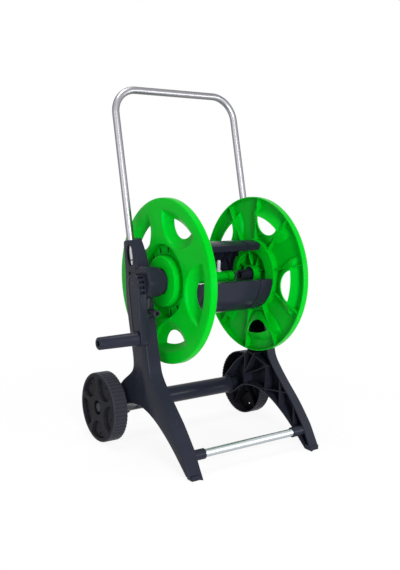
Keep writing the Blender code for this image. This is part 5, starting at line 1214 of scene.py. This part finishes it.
def side_frame(name, side):
    """A drafted shell, open toward the reel and ribbed inside, with bosses for reel, axle and rod."""
    outline = leg_outline()
    edge = [(x, LEG_DRAFT - inset) for x, inset in quarter(LEG_OUTER_X, 0, LEG_ROUND)[::-1]]
    shell = add_mesh(drafted_prism(outline, [(LEG_INNER_X, 0), *edge]), name=name, side=side)
    body = join(thicken(shell, LEG_WALL), rib_lattice(side, outline))
    near, far = side * (LEG_INNER_X - LEG_WALL), side * BOSS_OUTER_X
    inside = (AXLE_RADIUS + AXLE_BOSS_RADIUS) / 2
    cut(body, boss_room(side), x_hole(WHEEL_AXIS, near, far, inside, PLAIN_SIDES))
    join(body, reel_boss(side), axle_boss(side), rod_socket(side), sole(side))
    cut(body, *frame_holes(side))
    if side > 0:
        cut(body, *journal_splits())
    finish(body)


def frame_screws(name, side):
    """The screws through a side frame: one into the handle tube and one into the foot rod."""
    head = SCREW_HEAD, SCREW_HEAD_RADIUS
    face, end = side * (LEG_OUTER_X + SEAT_GAP), side * (HANDLE_X + SEAT_GAP)
    headed_pin(name + "_handle_screw", face, *head, end, SCREW_RADIUS, HANDLE_SCREW_AXIS)
    face, end = side * (LEG_OUTER_X - SCREW_HEAD), side * (LEG_INNER_X - ROD_PLUG + SCREW_RADIUS)
    headed_pin(name + "_rod_screw", face, *head, end, SCREW_RADIUS, ROD_AXIS)


def crossbar():
    """The tube that spaces the side frames at the axle and lies over their spigots."""
    half, bore = LEG_INNER_X - SEAT_GAP, CROSSBAR_RADIUS - CROSSBAR_WALL
    profile = [(-half, bore), (-half, CROSSBAR_RADIUS), (half, CROSSBAR_RADIUS), (half, bore)]
    finish(turned(profile, FINE_SIDES, WHEEL_AXIS, "crossbar"))


def front_rod():
    """The steel foot rod: a tube with a tapped plug in each end."""
    half, bore, tapped = LEG_INNER_X - SEAT_GAP, ROD_RADIUS - ROD_WALL, SCREW_RADIUS + SEAT_GAP
    plug = half - ROD_PLUG
    profile = [
        (-half, tapped), (-half, ROD_RADIUS), (half, ROD_RADIUS), (half, tapped),
        (plug, tapped), (plug, bore), (-plug, bore), (-plug, tapped),
    ]
    finish(turned(profile, PLAIN_SIDES, ROD_AXIS, "front_rod"))


def wheel_axle():
    end, radius = AXLE_END_X, AXLE_RADIUS
    profile = [(-end, 0), (-end, radius), (end, radius), (end, 0)]
    finish(turned(profile, SMALL_SIDES, WHEEL_AXIS, "wheel_axle"))


def wheel_cap(name, side):
    """The push-on cap that holds a wheel on the axle, in the recess of the wheel's face."""
    front, back = CAP_BACK_X + CAP_THICKNESS, CAP_BACK_X
    seat, grip = AXLE_END_X + SEAT_GAP, AXLE_RADIUS + SEAT_GAP
    profile = [
        (front, 0), (front, CAP_RADIUS - CAP_EDGE), (front - CAP_EDGE, CAP_RADIUS), (back, CAP_RADIUS),
        (back, grip), (seat, grip), (seat, 0),
    ]
    finish(turned(profile, PLAIN_SIDES, WHEEL_AXIS, name, side))


def water_inlet():
    """The fixed elbow: a nipple that faces forward below the boss, and a riser into the boss."""
    front, end = INLET_Y - INLET_BODY_END_Y, INLET_Y - INLET_NIPPLE_END_Y
    neck, bead = INLET_NIPPLE_RADIUS - INLET_BEAD_HEIGHT, end - INLET_BEAD
    profile = [
        (-INLET_BODY_BACK, 0), (-INLET_BODY_BACK, INLET_BODY_RADIUS), (front, INLET_BODY_RADIUS),
        (front, neck), (bead, neck), (bead, INLET_NIPPLE_RADIUS), (end - INLET_EDGE, INLET_NIPPLE_RADIUS),
        (end, INLET_NIPPLE_RADIUS - INLET_EDGE), (end, INLET_BORE), (-INLET_BORE, INLET_BORE),
        (-INLET_BORE, 0),
    ]
    bottom, top, middle = (Vector((-INLET_X, INLET_Y, z)) for z in (INLET_Z, INLET_TOP_Z, 0))
    body = turned(profile, PLAIN_SIDES, bottom, "water_inlet")
    body.rotation_euler = (0, 0, -math.pi / 2)
    riser = bmesh.new()
    add_rod(riser, bottom, top, INLET_RISER_RADIUS)
    join(body, add_mesh(riser))
    finish(cut(body, hole(bottom, middle, INLET_BORE)))


def handle_tube():
    """The bent steel tube: both ends deep in the side frames, the middle a straight bar."""
    top, straight = HANDLE_TOP_Z / math.cos(HANDLE_LEAN), HANDLE_X - HANDLE_BEND
    quarter_turn = spread(0, math.pi / 2, ARC_STEPS)
    points = [handle_point(-HANDLE_X, HANDLE_FOOT)]
    for side, turns in ((-1, quarter_turn), (1, quarter_turn[::-1])):
        for turn in turns:
            x = side * (straight + HANDLE_BEND * math.cos(turn))
            points.append(handle_point(x, top - HANDLE_BEND * (1 - math.sin(turn))))
    points.append(handle_point(HANDLE_X, HANDLE_FOOT))
    lean = Vector((0, math.cos(HANDLE_LEAN), -math.sin(HANDLE_LEAN)))
    bm = bmesh.new()
    rows = []
    for i, point in enumerate(points):
        before, after = points[max(i - 1, 0)], points[min(i + 1, len(points) - 1)]
        across = (after - before).normalized().cross(lean)
        row = []
        for turn in full_turn(PLAIN_SIDES):
            row.append(point + (across * math.cos(turn) + lean * math.sin(turn)) * HANDLE_RADIUS)
        rows.append(loop(bm, row))
    beam(bm, rows)
    finish(add_mesh(bm, name="handle_tube"))


def tread_grooves(side, axis):
    """Cutters of the grooves between the ribs of a wheel's tread."""
    bm = bmesh.new()
    half = WHEEL_WIDTH / 2
    low = (-half - TREAD_BAND, -WHEEL_RADIUS - TREAD_RIB_HEIGHT, -TREAD_GROOVE_WIDTH / 2)
    high = (half - TREAD_BAND, -WHEEL_RADIUS + TREAD_RIB_HEIGHT, TREAD_GROOVE_WIDTH / 2)
    for k in range(TREAD_RIBS):
        add_box(bm, low, high, about_x(2 * math.pi * k / TREAD_RIBS))
    return add_mesh(bm, axis, side=side)


def wheel(name, side):
    """A moulded wheel: pocketed outer face, ribbed tread and open back, hub tube and a recess for its cap."""
    half, limit, tread = WHEEL_WIDTH / 2, WHEEL_RADIUS - WHEEL_RIM, WHEEL_RADIUS - TREAD_INSET
    axis = WHEEL_AXIS + Vector((side * (WHEEL_X - half), 0, 0))
    bottom = WHEEL_POCKET_RADIUS - WHEEL_POCKET_DRAFT, limit - WHEEL_POCKET_DRAFT, half - WHEEL_POCKET_DEPTH
    outlines = (WHEEL_POCKET_CENTRE, WHEEL_POCKET_RADIUS, limit, half), (WHEEL_POCKET_CENTRE, *bottom)
    pockets = WHEEL_POCKETS, WHEEL_POCKET_ANGLE, outlines
    steps = WHEEL_SPOKE_STEPS, PLAIN_SIDES
    face, ribs, holes = (bmesh.new() for _ in range(3))
    crease, floors, recess = pocketed_face(face, *pockets, WHEEL_RECESS_RADIUS, *steps)
    for pocket in floors:
        face.faces.new(pocket)
    rings(face, crease, [*quarter(half, tread, WHEEL_EDGE), (-half, tread)])
    face.faces.new(rings(face, recess, [(half - WHEEL_RECESS_DEPTH, WHEEL_RECESS_RADIUS - WALL_DRAFT)]))
    face_outward(face)
    body = thicken(add_mesh(face, axis, name, side), WHEEL_WALL)
    back = half - WHEEL_POCKET_DEPTH - WHEEL_WALL / 2
    front = half - WHEEL_RECESS_DEPTH - WHEEL_WALL / 2
    low, high = (AXLE_RADIUS + WHEEL_HUB_RADIUS) / 2, WHEEL_RADIUS - WHEEL_WALL / 4 * 3
    rib = [
        (front, low), (front, WHEEL_RECESS_RADIUS), (back, WHEEL_RECESS_RADIUS + WHEEL_RIB_STEP),
        (back, high), (back - WHEEL_RIB_DEPTH, high), (back - WHEEL_RIB_DEPTH, low),
    ]
    for k in range(WHEEL_RIBS):
        blade(ribs, rib, WHEEL_POCKET_ANGLE + 2 * math.pi * (k + 0.5) / WHEEL_RIBS, WHEEL_RIB, side)
    hub = [(-half, 0), (-half, WHEEL_HUB_RADIUS), (front, WHEEL_HUB_RADIUS), (front, 0)]
    join(body, add_mesh(ribs, axis), turned(hub, PLAIN_SIDES, axis, side=side))
    cut(body, tread_grooves(side, axis))
    for k in range(WHEEL_POCKETS):
        angle = WHEEL_POCKET_ANGLE + 2 * math.pi * k / WHEEL_POCKETS
        ends = [polar(x, WHEEL_HOLE_CENTRE, angle) for x in (0, side * WHEEL_WIDTH)]
        add_rod(holes, *ends, WHEEL_HOLE_RADIUS)
    add_rod(holes, (-WHEEL_WIDTH, 0, 0), (WHEEL_WIDTH, 0, 0), AXLE_RADIUS + RUNNING_GAP)
    finish(cut(body, add_mesh(holes, axis)))


def feed(tree, node, inputs):
    """Links or sets a node's inputs."""
    for key, value in inputs.items():
        if isinstance(value, bpy.types.NodeSocket):
            tree.links.new(value, node.inputs[key])
        else:
            node.inputs[key].default_value = value


def add_node(tree, kind, inputs, **settings):
    node = tree.nodes.new(kind)
    for key, value in settings.items():
        setattr(node, key, value)
    feed(tree, node, inputs)
    return node


def node_tree(name):
    """A new material, its node tree and its shader."""
    made = bpy.data.materials.new(name)
    made.use_nodes = True
    return made, made.node_tree, made.node_tree.nodes["Principled BSDF"]


def math_node(tree, operation, first, second):
    return add_node(tree, "ShaderNodeMath", {0: first, 1: second}, operation=operation).outputs[0]


def object_place(tree):
    return add_node(tree, "ShaderNodeTexCoord", {}).outputs["Object"]


def length(tree, vector):
    return add_node(tree, "ShaderNodeVectorMath", {0: vector}, operation="LENGTH").outputs["Value"]


def remap(tree, value, start, end, low=0.0, high=1.0):
    """The value with its range from start to end carried over to the one from low to high."""
    inputs = {"Value": value, "From Min": start, "From Max": end, "To Min": low, "To Max": high}
    return add_node(tree, "ShaderNodeMapRange", inputs).outputs["Result"]


def ramp(tree, factor, ends, low, high):
    """A colour ramp from low to high between two positions."""
    node = add_node(tree, "ShaderNodeValToRGB", {"Fac": factor})
    for element, position, colour in zip(node.color_ramp.elements, ends, (low, high)):
        element.position = position
        element.color = (*colour, 1.0)
    return node.outputs["Color"]


def grain(tree, scale, detail, stretch=(1, 1, 1)):
    """Noise in the piece's own coordinates, so that it moves with the piece."""
    inputs = {"Vector": object_place(tree), "Scale": stretch}
    mapped = add_node(tree, "ShaderNodeMapping", inputs).outputs["Vector"]
    inputs = {"Vector": mapped, "Scale": scale, "Detail": detail}
    return add_node(tree, "ShaderNodeTexNoise", inputs).outputs["Fac"]


def bumped(tree, height, strength, distance):
    inputs = {"Height": height, "Strength": strength, "Distance": distance}
    return add_node(tree, "ShaderNodeBump", inputs).outputs["Normal"]


def plastic(slot, low, high, smooth_gloss, rough_gloss, fineness, relief, sheen, specular):
    """Moulded plastic: slow colour drift, patchy gloss and the fine skin of the mould. The sheen is the
    colour of its highlights."""
    MATERIALS[slot], tree, shader = node_tree(slot)
    inputs = {
        "Base Color": ramp(tree, grain(tree, *DRIFT), DRIFT_RANGE, low, high),
        "Roughness": remap(tree, grain(tree, *PATCHES), *MARK_RANGE, smooth_gloss, rough_gloss),
        "Specular Tint": (*sheen, 1.0),
        "Specular IOR Level": specular,
        "Normal": bumped(tree, grain(tree, fineness, SKIN_DETAIL), relief, SKIN_DEPTH),
    }
    feed(tree, shader, inputs)


def tread_painted_light(slot):
    """A lighter tread of painted light: a tone of its own in the last band of the wheels' radius."""
    tree = MATERIALS[slot].node_tree
    shader = tree.nodes["Principled BSDF"]
    plain = shader.inputs["Base Color"].links[0].from_socket
    inputs = {0: object_place(tree), 1: SHIFT + WHEEL_AXIS}
    from_axle = add_node(tree, "ShaderNodeVectorMath", inputs, operation="SUBTRACT").outputs[0]
    inputs = {0: from_axle, 1: (0, 1, 1)}
    across = add_node(tree, "ShaderNodeVectorMath", inputs, operation="MULTIPLY").outputs[0]
    band = WHEEL_RADIUS - TREAD_LIGHT_BAND, WHEEL_RADIUS - TREAD_LIGHT_BAND / 2
    share = remap(tree, length(tree, across), *band)
    mixed = add_node(tree, "ShaderNodeMix", {0: share, 6: plain, 7: (*TREAD_LIGHT_TONE, 1.0)}, data_type="RGBA")
    feed(tree, shader, {"Base Color": mixed.outputs[2]})


def metal(slot, low, high, smooth_gloss, rough_gloss, stretch, fineness, relief, rim):
    """Plated or drawn steel: fine marks along its length in tone and gloss, and painted shade that darkens it
    toward its outline.
    """
    MATERIALS[slot], tree, shader = node_tree(slot)
    marks = grain(tree, fineness, MARK_DETAIL, stretch)
    # Painted shade: the base colour darkens toward the outline, standing in for darker reflections there
    facing = add_node(tree, "ShaderNodeLayerWeight", {"Blend": 0.5}).outputs["Facing"]
    edge_shade = ramp(tree, facing, EDGE_SHADE_RANGE, (1, 1, 1), (rim, rim, rim))
    inputs = {"Factor": 1.0, 6: ramp(tree, marks, MARK_RANGE, low, high), 7: edge_shade}
    shaded = add_node(tree, "ShaderNodeMix", inputs, data_type="RGBA", blend_type="MULTIPLY")
    inputs = {
        "Base Color": shaded.outputs[2],
        "Roughness": remap(tree, marks, *MARK_RANGE, smooth_gloss, rough_gloss),
        "Metallic": 1.0,
        "Normal": bumped(tree, marks, relief, MARK_DEPTH),
    }
    feed(tree, shader, inputs)


def build():
    for name, side in (("left", -1), ("right", 1)):
        flange(name + "_flange", side)
        side_frame(name + "_side_frame", side)
        wheel(name + "_wheel", side)
        wheel_cap(name + "_wheel_cap", side)
        frame_screws(name, side)
    for k in range(SHELLS):
        drum_shell(f"drum_shell_{k + 1}", k)
    spindle()
    hose_outlet()
    crank_arm()
    crank_screw()
    crank_grip()
    handle_tube()
    crossbar()
    front_rod()
    wheel_axle()
    water_inlet()


def dress_solids():
    """The solids that stay visible get the same materials."""
    for node, obj in frame["nodes"].items():
        for slot in obj.material_slots:
            slot.material = MATERIALS[SLOT_OF[node]]


def lamp(name, place, target, size, power):
    data = bpy.data.lights.new(name, "AREA")
    data.shape = "RECTANGLE"
    data.size, data.size_y = size
    data.energy = power
    obj = add_object(name, data)
    obj.location = place
    obj.rotation_euler = (Vector(target) - Vector(place)).to_track_quat("-Z", "Y").to_euler()


def background_rays(tree):
    """One for the rays that show the background itself: to the camera, or by way of metal or glass."""
    path = add_node(tree, "ShaderNodeLightPath", {}).outputs
    mirrored = math_node(tree, "MAXIMUM", path["Is Glossy Ray"], path["Is Transmission Ray"])
    return math_node(tree, "MAXIMUM", path["Is Camera Ray"], mirrored)


def floor():
    """A wide pale floor that reads white to the camera and keeps a soft shadow."""
    bm = bmesh.new()
    bmesh.ops.create_grid(bm, x_segments=1, y_segments=1, size=FLOOR_HALF)
    mesh = bpy.data.meshes.new("floor")
    bm.to_mesh(mesh)
    bm.free()
    obj = add_object("floor", mesh)
    obj.location = (0, 0, -FLOOR_DROP)
    made, tree, shader = node_tree("pale_floor")
    tone = ramp(tree, grain(tree, *FLOOR_GRAIN), MARK_RANGE, *FLOOR_TONES)
    gloss = {"Roughness": FLOOR_ROUGHNESS, "Specular IOR Level": FLOOR_SPECULAR}
    feed(tree, shader, {"Base Color": tone, **gloss})
    glow = add_node(tree, "ShaderNodeEmission", {"Color": (1, 1, 1, 1), "Strength": 1.0})
    fade = remap(tree, length(tree, object_place(tree)), *FLOOR_FADE, FLOOR_GLOW)
    share = math_node(tree, "MULTIPLY", background_rays(tree), fade)
    mixed = add_node(tree, "ShaderNodeMixShader", {0: share, 1: shader.outputs[0], 2: glow.outputs[0]})
    feed(tree, tree.nodes["Material Output"], {"Surface": mixed.outputs[0]})
    mesh.materials.append(made)


def world():
    """White where it shows, and a dimmer fill as light on the object."""
    made = bpy.data.worlds.new("studio")
    bpy.context.scene.world = made
    made.use_nodes = True
    tree = made.node_tree
    fill = remap(tree, background_rays(tree), 0.0, 1.0, WORLD_FILL)
    feed(tree, tree.nodes["Background"], {"Color": (1, 1, 1, 1), "Strength": fill})


def camera():
    """The camera at the photograph's place and angle, seen from the reel's axis."""
    pitch, yaw, roll = (math.radians(angle) for angle in (CAMERA_PITCH, CAMERA_YAW, CAMERA_ROLL))
    ahead = Vector((math.sin(yaw) * math.cos(pitch), math.cos(yaw) * math.cos(pitch), math.sin(pitch)))
    right = Vector((math.cos(yaw), -math.sin(yaw), 0))
    up = right.cross(ahead)
    tilted_right = right * math.cos(roll) + up * math.sin(roll)
    tilted_up = up * math.cos(roll) - right * math.sin(roll)
    data = bpy.data.cameras.new("camera")
    data.lens = CAMERA_LENS
    obj = add_object("camera", data)
    turn = Matrix((tilted_right, tilted_up, -ahead)).transposed().to_4x4()
    obj.matrix_world = Matrix.Translation(SHIFT + Vector(CAMERA_PLACE)) @ turn
    bpy.context.scene.camera = obj


for slot, look in PLASTICS.items():
    plastic(slot, *look)
# Painted light: a lighter band of colour on the wheels' tread
tread_painted_light("wheel_plastic")
for slot, look in METALS.items():
    metal(slot, *look)
build()
dress_solids()
floor()
world()
camera()
for name, setting in LAMPS.items():
    lamp(name, *setting)
bpy.context.scene.view_settings.view_transform = "Standard"
